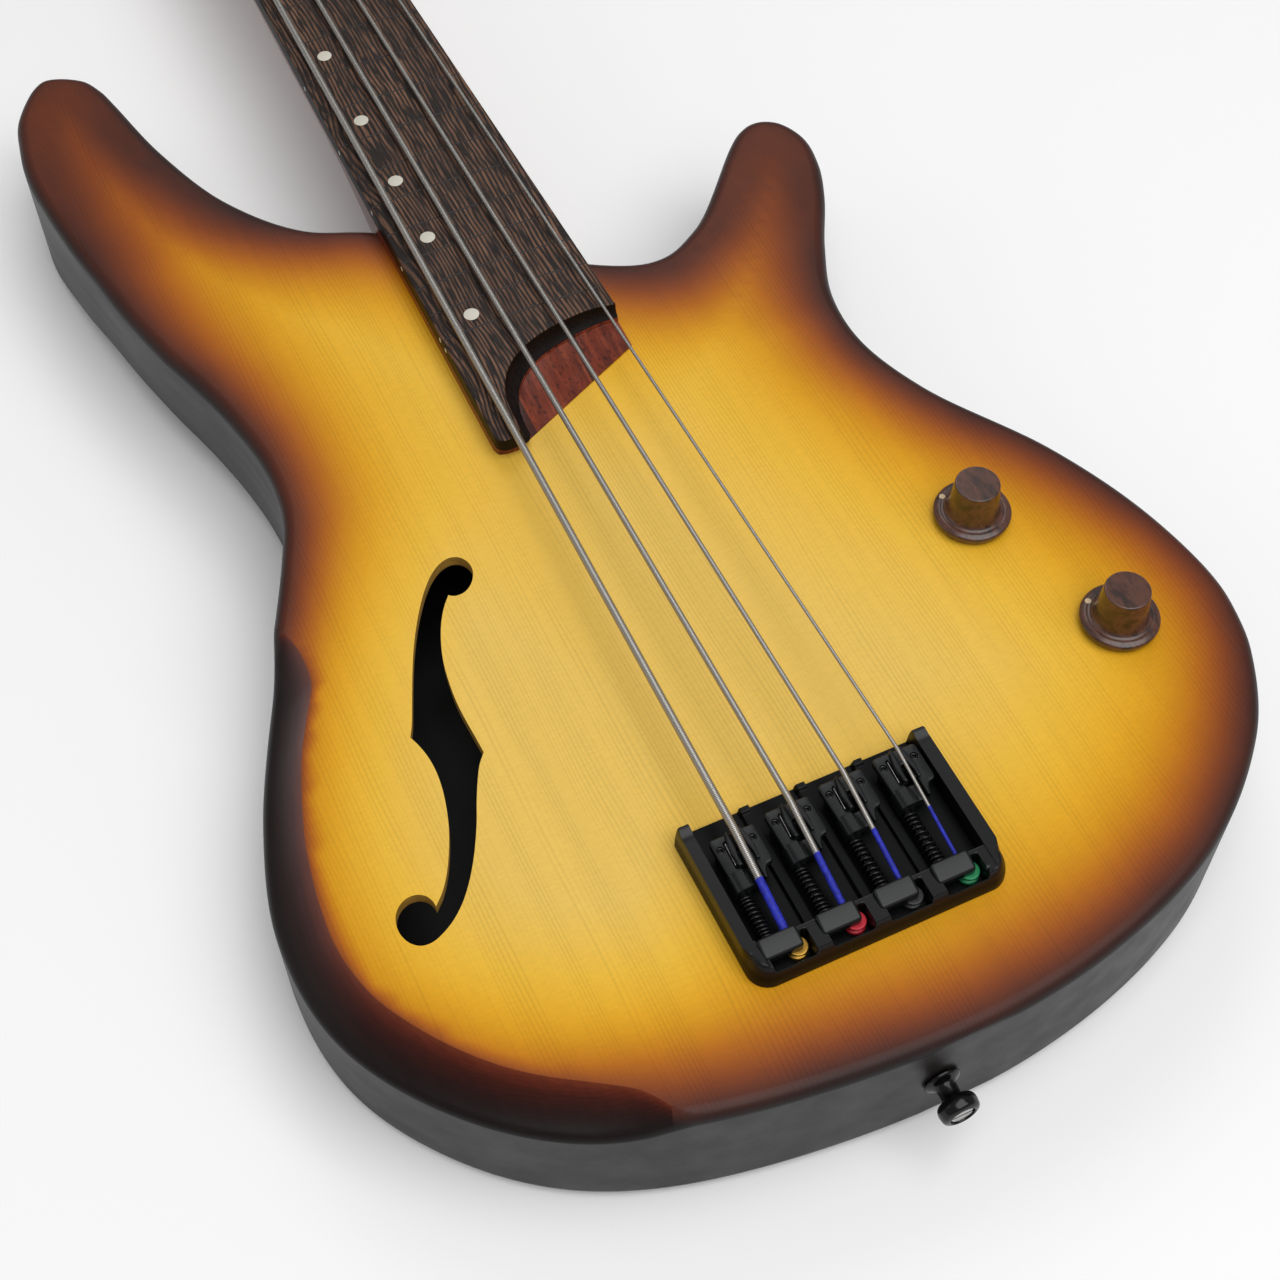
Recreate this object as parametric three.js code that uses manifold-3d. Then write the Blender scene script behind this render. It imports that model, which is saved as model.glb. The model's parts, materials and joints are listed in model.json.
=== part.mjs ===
// A four-string fretless bass guitar with a chambered body, in millimetres.
// The origin lies on the flat back, below the point where the centre line crosses the saddle line.
// +X points to the thin-string side, +Y to the headstock and +Z out of the top.
import * as THREE from 'three';
import { mergeVertices } from 'three/addons/utils/BufferGeometryUtils.js';
import Module from 'manifold-3d';

const wasm = await Module();
wasm.setup();

// Gaps that fits share
const seatGap = 0.3;
const coilGap = 0.62;
const overrun = 20;

// Body
const body = {
  length: 509,
  width: 323.2,
  depth: 54,
  tailSetback: 86,
  topThickness: 5,
  topEdgeRadius: 4.4,
  backEdgeRadius: 6,
  backWall: 6,
};
const facet = { width: 14.5, drop: 16 };
const bellyCut = { radius: 260, depth: 14, edgeX: -105, low: 100, high: 400 };
const soundHole = { length: 125.3, turn: 62.3, centreX: -92.9, centreY: 69.2, shift: 1.5 };
const soundHoleEye = { upperRadius: 5.3, lowerRadius: 6.2 };

// Neck, fingerboard and headstock
const scaleLength = 864;
const octaveFret = 12;
const lastFret = 24;
const board = {
  nutWidth: 38,
  lastFretWidth: 62,
  crownRadius: 305,
  edgeThickness: 5.5,
  edgeHeight: 9.5,
  endY: 164.5,
  tongueWidth: 10,
  tongueCorner: 4,
  scoopY: 207,
  scoopFoot: 3.6,
  footShare: 0.65,
};
const neck = { nutDepth: 14, octaveDepth: 16, heelDepth: 24, heelEndY: 166.5, heelRampY: 262 };
const heelFace = { trebleY: 193.2, bassY: 168.5, slope: 8, lip: 0.8 };
const headstock = { width: 78, length: 173, thickness: 14, tilt: 6 };
const nut = { thickness: 4.5, width: 41, rise: 1.6 };
const trussRod = { width: 6, height: 8.5, start: 232, tail: 16, socketRadius: 2, nutRadius: 3.8 };
const neckScrew = { radius: 2.3, headRadius: 4.6, headHeight: 3, length: 45, lowY: 190, highY: 234 };
const neckScrewSpread = { x: 19, y: 22 };

// Strings, from the thick one on the -X side to the thin one
const stringNames = ['e', 'a', 'd', 'g'];
const stringRadii = [1.33, 1.08, 0.83, 0.57];
const stringSpacing = { saddle: 19, nut: 9.8 };
const stringRise = { nut: 0.6, saddle: 3.7 };
const saddleSetbacks = [4, 2.5, 1, 0];
const winding = { loops: 2, top: 9.8 };
const ballEnd = { radius: 3.1, height: 4.6, waistRadius: 2.2, lip: 1 };

// Bridge
const bridge = {
  width: 83,
  front: 5,
  rear: -48.9,
  floor: 2.2,
  railWidth: 3.9,
  railHeight: 9,
  ribWidth: 1.6,
  ribHeight: 5.2,
  cornerRadius: 7,
  bulkheadY: -38,
  bulkheadThickness: 2,
  rearHeight: 6.4,
  rearSlopeShare: 0.4,
  cornerSlopeShare: 0.2,
  stringHoleHeight: 6.2,
};
const block = { left: 8.8, right: 2, length: 6.4, height: 10.2, bevel: 0.9 };
const mouth = { left: 8.1, right: 4.6, floor: 2.9, height: 8.9 };
const saddle = {
  left: 7.6,
  right: 6,
  front: 4,
  length: 16.5,
  top: 9.6,
  underside: 6.2,
  corner: 1.6,
  bevel: 0.5,
  grooveSlope: 14,
  witnessGap: 0.9,
  ridgeWidth: 1.8,
  ridgeLength: 14.2,
  screwRadius: 1.5,
  stepLength: 5.2,
};
const barrel = { left: 7.6, right: 3.8, rear: 18.2, bottom: 3.4, blindLength: 12, bevel: 0.7 };
const intonation = { offset: 5.7, height: 5.9, radius: 1.5, headRadius: 1.9, headLength: 2.2, reach: 6 };
const spring = { wireRadius: 0.36, innerGap: 0.3, turns: 9, steps: 8, sides: 5 };

// Tuners, one set per post
const tuner = {
  postRadius: 4.7,
  waistRadius: 4.3,
  postHeight: 17,
  waistTop: 12.5,
  waistBottom: 2.1,
  slotWidth: 2.8,
  slotDepth: 6,
  boreRadius: 1.6,
  bushingRadius: 6,
  flangeRadius: 8.6,
  flangeHeight: 1.5,
  housingWidth: 22,
  housingLength: 27,
  housingHeight: 11,
  plateLength: 40,
  plateThickness: 1.4,
  keyOffset: 9.5,
  keyDepth: 6,
  keyRadius: 2.6,
  collarRadius: 4.2,
};
const tunerButton = { clearance: 4, length: 18, width: 23, thickness: 8, stem: 4, bevel: 1.6 };
const tunerPlaces = [
  { name: 'e', x: -22.5, s: 48 },
  { name: 'a', x: -20.5, s: 112 },
  { name: 'd', x: 20.5, s: 112 },
  { name: 'g', x: 22.5, s: 48 },
];

// Controls and fittings
const knobPlaces = [
  { name: 'volume', acrossShare: 0.624, alongShare: 0.316 },
  { name: 'tone', acrossShare: 0.752, alongShare: 0.203 },
];
const knob = {
  skirtRadius: 13,
  skirtEdge: 3.6,
  stemRadius: 7.1,
  height: 17,
  lift: 0.5,
  waistRadius: 7.4,
  waistHeight: 8,
  topRound: 1,
  hollowRadius: 8.6,
  hollowHeight: 3.4,
  bore: 13.4,
  grubRadius: 1.2,
  grubHeight: 11,
};
const pot = {
  bushingRadius: 4.7,
  bodyRadius: 8.2,
  bodyHeight: 7,
  shaftRadius: 3,
  bushingRise: 2.9,
  shaftTop: 13,
  shaftBottom: 6,
  nutRadius: 7,
  nutHeight: 2,
};
const cover = { thickness: 2.4, ledge: 4.5 };
const preamp = { width: 30, length: 46, thickness: 1.6, partHeight: 5 };
const battery = { width: 26.5, length: 44, height: 17.5, snapRadius: 3, snapHeight: 3 };
const electronicsShares = { across: 0.501, preampAlong: 0.222, batteryAlong: 0.228 };
const jack = {
  barrelRadius: 7,
  boreRadius: 3.4,
  length: 30,
  boreDepth: 25,
  flangeRadius: 11,
  flangeThickness: 2,
  spotDepth: 2,
};
const strapButton = {
  flangeRadius: 6,
  flangeHeight: 1.8,
  waistRadius: 3.1,
  headRadius: 6.5,
  length: 13,
  headHeight: 5.2,
  boreRadius: 2.4,
  recessRadius: 4,
  recessDepth: 3.4,
};
const strapScrew = { radius: 2, headRadius: 3.6, headHeight: 2.6, depth: 22, slotWidth: 1.2, slotDepth: 1.2 };

// Facets
const fineSides = 16;
const roundSides = 12;
const boreSides = 10;

// Outline of the body, clockwise from the thin-string horn's root:
// shares of half the width, and of the length from the tail
const bodyOutlineShares = [
  [0.34, 0.621], [0.479, 0.636], [0.723, 0.715], [0.777, 0.72], [0.827, 0.712], [0.859, 0.689],
  [0.85, 0.66], [0.812, 0.628], [0.735, 0.582], [0.676, 0.536], [0.667, 0.488], [0.723, 0.431],
  [0.879, 0.347], [0.965, 0.276], [1, 0.209], [0.989, 0.177], [0.96, 0.148], [0.858, 0.097],
  [0.606, 0.037], [0.149, 0.002], [-0.502, 0.024], [-0.768, 0.069], [-0.958, 0.149], [-0.999, 0.228],
  [-0.939, 0.314], [-0.704, 0.478], [-0.664, 0.511], [-0.651, 0.539], [-0.655, 0.572], [-0.676, 0.608],
  [-0.709, 0.646], [-0.748, 0.684], [-0.787, 0.733], [-0.814, 0.779], [-0.835, 0.816], [-0.859, 0.896],
  [-0.847, 0.934], [-0.819, 0.967], [-0.73, 1], [-0.639, 0.988], [-0.609, 0.971], [-0.592, 0.95],
  [-0.546, 0.885], [-0.459, 0.812], [-0.332, 0.76], [-0.184, 0.735],
];
// Inner edge of the facet for the forearm, from the waist to the tail
const facetLineShares = [
  [-0.77, 0.433], [-0.742, 0.409], [-0.747, 0.384], [-0.853, 0.309], [-0.903, 0.237], [-0.886, 0.17],
  [-0.781, 0.113], [-0.65, 0.074], [-0.539, 0.048], [-0.491, 0.02],
];
const bassChamberShares = [
  [-0.277, 0.093], [-0.545, 0.098], [-0.713, 0.133], [-0.822, 0.187], [-0.832, 0.242], [-0.762, 0.321],
  [-0.644, 0.38], [-0.525, 0.44], [-0.475, 0.519], [-0.46, 0.598], [-0.416, 0.657], [-0.327, 0.648],
  [-0.257, 0.499], [-0.248, 0.301],
];
const trebleChamberShares = [
  [0.297, 0.41], [0.545, 0.42], [0.574, 0.469], [0.574, 0.539], [0.515, 0.578], [0.356, 0.578],
  [0.287, 0.499],
];
const controlCavityShares = [
  [0.396, 0.143], [0.614, 0.128], [0.772, 0.148], [0.861, 0.192], [0.866, 0.242], [0.832, 0.301],
  [0.762, 0.346], [0.673, 0.38], [0.554, 0.375], [0.416, 0.346], [0.376, 0.251],
];
// One side of the sound hole from its upper end to its lower end: shares of its length
const soundHoleUpperShares = [
  [0, 0.565], [-0.06, 0.53], [-0.093, 0.45], [-0.105, 0.32], [-0.099, 0.18], [-0.09, 0.08], [-0.1, 0.018],
];
const soundHoleLowerShares = [
  [-0.1, 0.018], [-0.058, -0.026], [-0.014, -0.105], [0.014, -0.177], [0.036, -0.27], [0.042, -0.36],
  [0.03, -0.44],
];
// Scoop in the fingerboard's end: shares of half its width, and of the scoop's depth
const scoopShares = [
  [-0.72, 0.22], [-0.697, 0.36], [-0.64, 0.51], [-0.54, 0.645], [-0.39, 0.76], [-0.19, 0.85],
  [0.06, 0.92], [0.4, 0.975], [0.72, 1], [1.1, 0.97], [1.8, 0.9],
];
// Outline of the headstock: shares of half its width, and of its length
const headstockShares = [
  [0.5, 0], [0.6, 0.06], [0.92, 0.17], [1, 0.28], [0.93, 0.55], [0.86, 0.8], [0.7, 0.93], [0.36, 0.99],
];
// Sections of the neck: place along its length, shares of the depth, and how square the section is
const neckSectionShares = [
  { place: 'heelEnd', depthShare: 1, square: 9 },
  { place: 'heelRamp', depthShare: 1, square: 9 },
  { place: 'heelRamp', beyondShare: 0.25, depthShare: 0.97, square: 5.5 },
  { place: 'heelRamp', beyondShare: 0.5, depthShare: 0.86, square: 3.6 },
  { place: 'heelRamp', beyondShare: 0.75, depthShare: 0.75, square: 2.7 },
  { place: 'heelRamp', beyondShare: 1, depthShare: 0.7, square: 2.4 },
];

// Places that follow from the sizes
const topZ = body.depth;
const coreTopZ = topZ - body.topThickness;
const tailY = -body.tailSetback;
const boardSlope = (board.lastFretWidth - board.nutWidth) / 2 / (scaleLength - fretY(lastFret));
const boardEdgeZ = topZ + board.edgeHeight;
const glueZ = boardEdgeZ - board.edgeThickness;
const crownZ = boardEdgeZ + crownDrop(board.lastFretWidth / 2);
const nutRearY = scaleLength + nut.thickness;
const tiltAngle = THREE.MathUtils.degToRad(headstock.tilt);
const heelBottomZ = glueZ - neck.heelDepth;
const bridgeZ = topZ + seatGap;

function fretY(number) {
  return scaleLength * 2 ** (-number / octaveFret);
}

function boardHalfWidth(y) {
  return board.nutWidth / 2 + (scaleLength - y) * boardSlope;
}

function crownDrop(x) {
  return board.crownRadius - Math.sqrt(board.crownRadius ** 2 - x ** 2);
}

// Solids: closed meshes that can be joined and cut

function solid(geometry) {
  const bare = geometry.clone();
  bare.deleteAttribute('normal');
  bare.deleteAttribute('uv');
  const merged = mergeVertices(bare);
  const triangles = [];
  for (let corner = 0; corner < merged.index.count; corner += 3) {
    const [a, b, c] = [0, 1, 2].map((step) => merged.index.getX(corner + step));
    if (a !== b && b !== c && c !== a) {
      triangles.push(a, b, c);
    }
  }
  const shape = fromTriangles(merged.attributes.position.array, triangles);
  // A profile traced the other way round comes out inside out
  return shape.volume() > 0 ? shape : fromTriangles(merged.attributes.position.array, triangles.reverse());
}

function fromTriangles(vertices, triangles) {
  return new wasm.Manifold(new wasm.Mesh({
    numProp: 3,
    vertProperties: Float32Array.from(vertices),
    triVerts: Uint32Array.from(triangles),
  }));
}

function box(low, high) {
  const geometry = new THREE.BoxGeometry(high[0] - low[0], high[1] - low[1], high[2] - low[2]);
  geometry.translate((low[0] + high[0]) / 2, (low[1] + high[1]) / 2, (low[2] + high[2]) / 2);
  return solid(geometry);
}

// A round bar or bore between two points, with a second radius for a cone
function bar(from, to, radius, sides = roundSides, endRadius = radius) {
  const start = new THREE.Vector3(...from);
  const along = new THREE.Vector3(...to).sub(start);
  const geometry = new THREE.CylinderGeometry(endRadius, radius, along.length(), sides);
  geometry.translate(0, along.length() / 2, 0);
  const turn = new THREE.Quaternion().setFromUnitVectors(THREE.Object3D.DEFAULT_UP, along.normalize());
  geometry.applyQuaternion(turn);
  geometry.translate(...from);
  return solid(geometry);
}

// A profile of [radius, height] pairs turned about the Z axis
function revolve(profile, sides = fineSides) {
  const geometry = new THREE.LatheGeometry(profile.map(([r, h]) => new THREE.Vector2(r, h)), sides);
  geometry.rotateX(Math.PI / 2);
  return solid(geometry);
}

// A flat outline carried from one height to another, with an optional bevel on both faces
function slab(outline, low, high, bevel = 0) {
  const shape = new THREE.Shape(outline.map(([x, y]) => new THREE.Vector2(x, y)));
  const geometry = new THREE.ExtrudeGeometry(shape, {
    depth: high - low - bevel * 2,
    bevelEnabled: bevel > 0,
    bevelSize: bevel,
    bevelThickness: bevel,
    bevelOffset: -bevel,
    bevelSegments: 1,
    steps: 1,
  });
  geometry.translate(0, 0, low + bevel);
  return solid(geometry);
}

// A rectangle with rounded corners; the pair at its high end can have a radius of its own
function roundedRectangle(left, right, low, high, radius, steps = 2, highRadius = radius) {
  const corners = [[right, high, 0], [left, high, 1], [left, low, 2], [right, low, 3]];
  return corners.flatMap(([x, y, quarter]) => {
    const round = y === high ? highRadius : radius;
    if (round === 0) {
      return [[x, y]];
    }
    const centreX = x - Math.sign(x - (left + right) / 2) * round;
    const centreY = y - Math.sign(y - (low + high) / 2) * round;
    return Array.from({ length: steps + 1 }, (_, step) => {
      const angle = (quarter + step / steps) * Math.PI / 2;
      return [centreX + round * Math.cos(angle), centreY + round * Math.sin(angle)];
    });
  });
}

// Rings of equal count joined into one closed body, capped by the first ring's own triangles
function skin(rings, flatten = (point) => [point[0], point[1]]) {
  const count = rings[0].length;
  const contour = rings[0].map((point) => new THREE.Vector2(...flatten(point)));
  const caps = THREE.ShapeUtils.triangulateShape(contour, []);
  const triangles = [];
  for (let ring = 0; ring + 1 < rings.length; ring += 1) {
    for (let step = 0; step < count; step += 1) {
      const a = ring * count + step;
      const b = ring * count + (step + 1) % count;
      triangles.push(a, b, b + count, a, b + count, a + count);
    }
  }
  const last = (rings.length - 1) * count;
  const forward = THREE.ShapeUtils.isClockWise(contour) ? -1 : 1;
  for (const face of caps) {
    const [a, b, c] = forward > 0 ? face : [face[2], face[1], face[0]];
    triangles.push(c, b, a, last + a, last + b, last + c);
  }
  const shape = fromTriangles(rings.flat(2), triangles);
  return shape.volume() > 0 ? shape : fromTriangles(rings.flat(2), triangles.reverse());
}

// Smooth closed or open curve through points
function smooth(points, closed, perSpan) {
  const curve = new THREE.CatmullRomCurve3(
    points.map(([x, y]) => new THREE.Vector3(x, y, 0)), closed, 'centripetal');
  const spans = closed ? points.length : points.length - 1;
  const samples = curve.getPoints(spans * perSpan).map((point) => [point.x, point.y]);
  return closed ? samples.slice(0, -1) : samples;
}

function bodyPoint([across, along]) {
  return [across * body.width / 2, tailY + along * body.length];
}

// The outline moved inwards by a distance, along its own normals
function inset(outline, distance) {
  const count = outline.length;
  const clockwise = THREE.ShapeUtils.isClockWise(outline.map(([x, y]) => new THREE.Vector2(x, y)));
  const side = clockwise ? -1 : 1;
  return outline.map(([x, y], place) => {
    const before = outline[(place + count - 1) % count];
    const after = outline[(place + 1) % count];
    const along = [after[0] - before[0], after[1] - before[1]];
    const length = Math.hypot(...along);
    return [x - side * distance * along[1] / length, y + side * distance * along[0] / length];
  });
}

function atHeight(outline, z) {
  return outline.map(([x, y]) => [x, y, z]);
}

function placed(shape, matrix) {
  return shape.transform(matrix.toArray());
}

// The named meshes, and the materials that they share
const guitar = new THREE.Group();
const headstockGroup = new THREE.Group();
headstockGroup.position.set(0, nutRearY, glueZ);
headstockGroup.rotation.x = -tiltAngle;
guitar.add(headstockGroup);
headstockGroup.updateMatrixWorld(true);

const finishes = {
  top: { color: 0xd9981f, roughness: 0.42, metalness: 0 },
  mahogany: { color: 0x2b2322, roughness: 0.5, metalness: 0 },
  neckWood: { color: 0x6b2d1c, roughness: 0.5, metalness: 0 },
  wenge: { color: 0x4a3128, roughness: 0.55, metalness: 0 },
  rosewood: { color: 0x4b2d1e, roughness: 0.5, metalness: 0 },
  black: { color: 0x15181a, roughness: 0.4, metalness: 0.6 },
  string: { color: 0xb9b4ac, roughness: 0.3, metalness: 1 },
  steel: { color: 0x8a8c8e, roughness: 0.35, metalness: 1 },
  plastic: { color: 0x121212, roughness: 0.6, metalness: 0 },
  nutBone: { color: 0xded6c2, roughness: 0.5, metalness: 0 },
};

function addPart(name, shape, finish, parent = guitar) {
  const mesh = shape.getMesh();
  const geometry = new THREE.BufferGeometry();
  geometry.setAttribute('position', new THREE.BufferAttribute(Float32Array.from(mesh.vertProperties), 3));
  geometry.setIndex(new THREE.BufferAttribute(Uint32Array.from(mesh.triVerts), 1));
  geometry.computeVertexNormals();
  const part = new THREE.Mesh(geometry, new THREE.MeshStandardMaterial(finishes[finish]));
  part.name = name;
  parent.add(part);
}

// Outline of the body and the shapes that cut it

const bodyOutline = smooth(bodyOutlineShares.map(bodyPoint), true, 2);

function quarterRound(radius, steps) {
  return Array.from({ length: steps + 1 }, (_, step) => {
    const angle = step / steps * Math.PI / 2;
    return { inset: radius * (1 - Math.sin(angle)), rise: radius * (1 - Math.cos(angle)) };
  });
}

// The wedge that carves the facet: each section is hollowed a little, and runs on past the edge
function facetCutter() {
  const line = smooth(facetLineShares.map(bodyPoint), false, 3);
  const endShare = 0.012;
  const sectionShares = [[0, 0], [0.22, 0.36], [0.55, 0.7], [1, 1], [2.4, 2]];
  const rings = line.map(([x, y], place) => {
    const before = line[Math.max(place - 1, 0)];
    const after = line[Math.min(place + 1, line.length - 1)];
    const length = Math.hypot(after[0] - before[0], after[1] - before[1]);
    const out = [(after[1] - before[1]) / length, -(after[0] - before[0]) / length];
    const travel = endShare + place / (line.length - 1) * (1 - endShare * 2);
    const swell = Math.sqrt(Math.sin(Math.PI * travel));
    const section = sectionShares.map(([across, down]) => {
      const reach = across * facet.width * swell;
      return [x + out[0] * reach, y + out[1] * reach, topZ - down * facet.drop * swell];
    });
    const [far] = section.slice(-1);
    return [...section, [far[0], far[1], topZ + overrun], [x, y, topZ + overrun]];
  });
  const profile = [...sectionShares.map(([across, down]) => [across * facet.width, -down * facet.drop]),
    [sectionShares.at(-1)[0] * facet.width, overrun], [0, overrun]];
  let place = 0;
  return skin(rings, () => profile[place++]);
}

// Where the heel ends: across the top below the strings, and round the tongue's end
function heelPlan(clearance) {
  const bass = -boardHalfWidth(neck.heelEndY) - clearance;
  const endY = neck.heelEndY - clearance;
  const tongueX = bass + board.tongueWidth;
  const farY = tailY + body.length + overrun;
  const corner = board.tongueCorner;
  return [
    [bass + corner, endY],
    [tongueX - corner / 2, endY],
    [tongueX + corner / 2, heelFace.bassY - clearance],
    [boardHalfWidth(heelFace.trebleY) + clearance, heelFace.trebleY - clearance],
    [boardHalfWidth(farY) + clearance, farY],
    [-boardHalfWidth(farY) - clearance, farY],
    [bass, endY + corner],
    [bass + corner / 4, endY + corner / 4],
  ];
}

// Scoop in the fingerboard's end, from the tongue to the thin-string edge.
// Towards its foot the wall moves out of the board.
function scoopLine(foot) {
  const depth = board.scoopY - board.endY;
  const points = scoopShares.map(([across, along]) => [
    across * board.lastFretWidth / 2 + foot,
    board.endY + along * depth - foot * board.footShare,
  ]);
  return smooth(points, false, 1);
}

function soundHoleCutter() {
  const place = new THREE.Matrix4().makeRotationZ(THREE.MathUtils.degToRad(soundHole.turn - 90));
  place.setPosition(soundHole.centreX, soundHole.centreY, 0);
  const scaled = ([x, y]) => [x * soundHole.length, y * soundHole.length];
  const side = [
    ...smooth(soundHoleUpperShares.map(scaled), false, 3),
    ...smooth(soundHoleLowerShares.map(scaled), false, 3).slice(1),
  ];
  const stem = [...side, ...side.map(([x, y]) => [-x, -y])].map(([x, y]) => [x + soundHole.shift, y]);
  const low = coreTopZ - overrun;
  const high = topZ + overrun;
  const half = soundHole.length / 2;
  const cutter = slab(stem, low, high)
    .add(bar([0, half, low], [0, half, high], soundHoleEye.upperRadius))
    .add(bar([0, -half, low], [0, -half, high], soundHoleEye.lowerRadius));
  return placed(cutter, place);
}

// The belly cut: a wide barrel laid along the back's edge on the thick-string side
function bellyCutter() {
  const { radius, depth, low, high } = bellyCut;
  const x = bellyCut.edgeX - radius / 3;
  const axisZ = depth - Math.sqrt(radius ** 2 - (radius / 3) ** 2);
  const staves = 8;
  const profile = Array.from({ length: staves + 1 }, (_, step) => {
    const along = step / staves;
    return [radius - depth * 2 * (2 * along - 1) ** 2, low + (high - low) * along];
  });
  const barrel = revolve([[0, low], ...profile, [0, high]], fineSides * 3);
  const lay = new THREE.Matrix4().makeRotationX(-Math.PI / 2);
  lay.setPosition(x, 0, axisZ);
  return placed(barrel, lay);
}

const coverOutline = inset(smooth(controlCavityShares.map(bodyPoint), true, 2), -cover.ledge);
const heelPocket = slab(heelPlan(seatGap), heelBottomZ - seatGap, topZ + overrun);
const facetShape = facetCutter();

const neckScrewPlaces = [-1, 1].flatMap((side) => [neckScrew.lowY, neckScrew.highY].map((y) => (
  [side * neckScrewSpread.x, y + (side > 0 ? neckScrewSpread.y / 2 : 0) * (y < neckScrew.highY ? 1 : 0)
    + (side < 0 ? neckScrewSpread.y : 0) * (y > neckScrew.lowY ? 1 : 0)])));

const rightmost = bodyOutline.reduce((best, point) => (point[0] > best[0] ? point : best));
const jackPlace = { x: rightmost[0] - jack.spotDepth, y: rightmost[1], z: body.depth / 2 };
const tailEdgeY = Math.min(...bodyOutline.map(([, y]) => y));
const hornTip = bodyOutline.reduce((best, point) => (point[1] > best[1] ? point : best));
const strapPlaces = [
  { name: 'tail', x: 0, y: tailEdgeY, z: body.depth / 2, turn: Math.PI / 2 },
  { name: 'horn', x: hornTip[0], y: hornTip[1], z: body.depth / 2, turn: -Math.PI / 2 },
];

function makeBody() {
  const back = quarterRound(body.backEdgeRadius, 2);
  const core = skin([
    ...back.map((level) => atHeight(inset(bodyOutline, level.inset), level.rise)),
    atHeight(bodyOutline, coreTopZ),
  ]);
  const highZ = topZ + overrun;
  const pockets = [
    slab(smooth(bassChamberShares.map(bodyPoint), true, 2), body.backWall, highZ),
    slab(smooth(trebleChamberShares.map(bodyPoint), true, 2), body.backWall, highZ),
    slab(smooth(controlCavityShares.map(bodyPoint), true, 2), -overrun, highZ),
    slab(inset(coverOutline, -seatGap), -overrun, cover.thickness + seatGap),
    heelPocket,
    facetShape,
    bellyCutter(),
    bar([jackPlace.x - jack.length, jackPlace.y, jackPlace.z], [jackPlace.x + overrun, jackPlace.y,
      jackPlace.z], jack.barrelRadius + seatGap),
    bar([jackPlace.x, jackPlace.y, jackPlace.z], [jackPlace.x + overrun, jackPlace.y, jackPlace.z],
      jack.flangeRadius + seatGap, fineSides),
    ...neckScrewPlaces.flatMap(([x, y]) => [
      bar([x, y, -overrun], [x, y, highZ], neckScrew.radius + seatGap, boreSides),
      bar([x, y, -overrun], [x, y, neckScrew.headHeight + seatGap], neckScrew.headRadius + seatGap),
    ]),
    ...strapPlaces.map((place) => {
      const inward = Math.sign(place.turn) * (strapScrew.depth + seatGap);
      return bar([place.x, place.y - Math.sign(inward) * overrun, place.z],
        [place.x, place.y + inward, place.z], strapScrew.radius + seatGap, boreSides);
    }),
  ];
  addPart('body_core', pockets.reduce((shape, pocket) => shape.subtract(pocket), core), 'mahogany');

  const edge = quarterRound(body.topEdgeRadius, 2).reverse();
  const plate = skin([
    atHeight(bodyOutline, coreTopZ + seatGap),
    ...edge.map((level) => atHeight(inset(bodyOutline, level.inset), topZ - level.rise)),
  ]);
  const openings = [
    soundHoleCutter(),
    heelPocket,
    facetShape,
    ...knobPlaces.map(({ acrossShare, alongShare }) => {
      const [x, y] = bodyPoint([acrossShare, alongShare]);
      return bar([x, y, coreTopZ - overrun], [x, y, highZ], pot.bushingRadius + seatGap);
    }),
  ];
  addPart('top_plate', openings.reduce((shape, opening) => shape.subtract(opening), plate), 'top');

  addPart('control_cover', slab(coverOutline, 0, cover.thickness), 'plastic');
}

// One section of the neck: flat on top, a rounded or squared belly below
function neckSection(y, depth, square) {
  const steps = 12;
  const halfWidth = boardHalfWidth(y);
  return Array.from({ length: steps + 1 }, (_, step) => {
    const angle = step / steps * Math.PI;
    const across = Math.sign(Math.cos(angle)) * Math.abs(Math.cos(angle)) ** (2 / square);
    const down = Math.abs(Math.sin(angle)) ** (2 / square);
    return [halfWidth * across, y, glueZ - depth * down];
  });
}

function headstockOutline() {
  const side = headstockShares.map(([x, s]) => [x * headstock.width / 2, s * headstock.length]);
  const mirrored = side.map(([x, s]) => [-x, s]).reverse();
  return smooth([...side, ...mirrored], false, 2);
}

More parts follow.
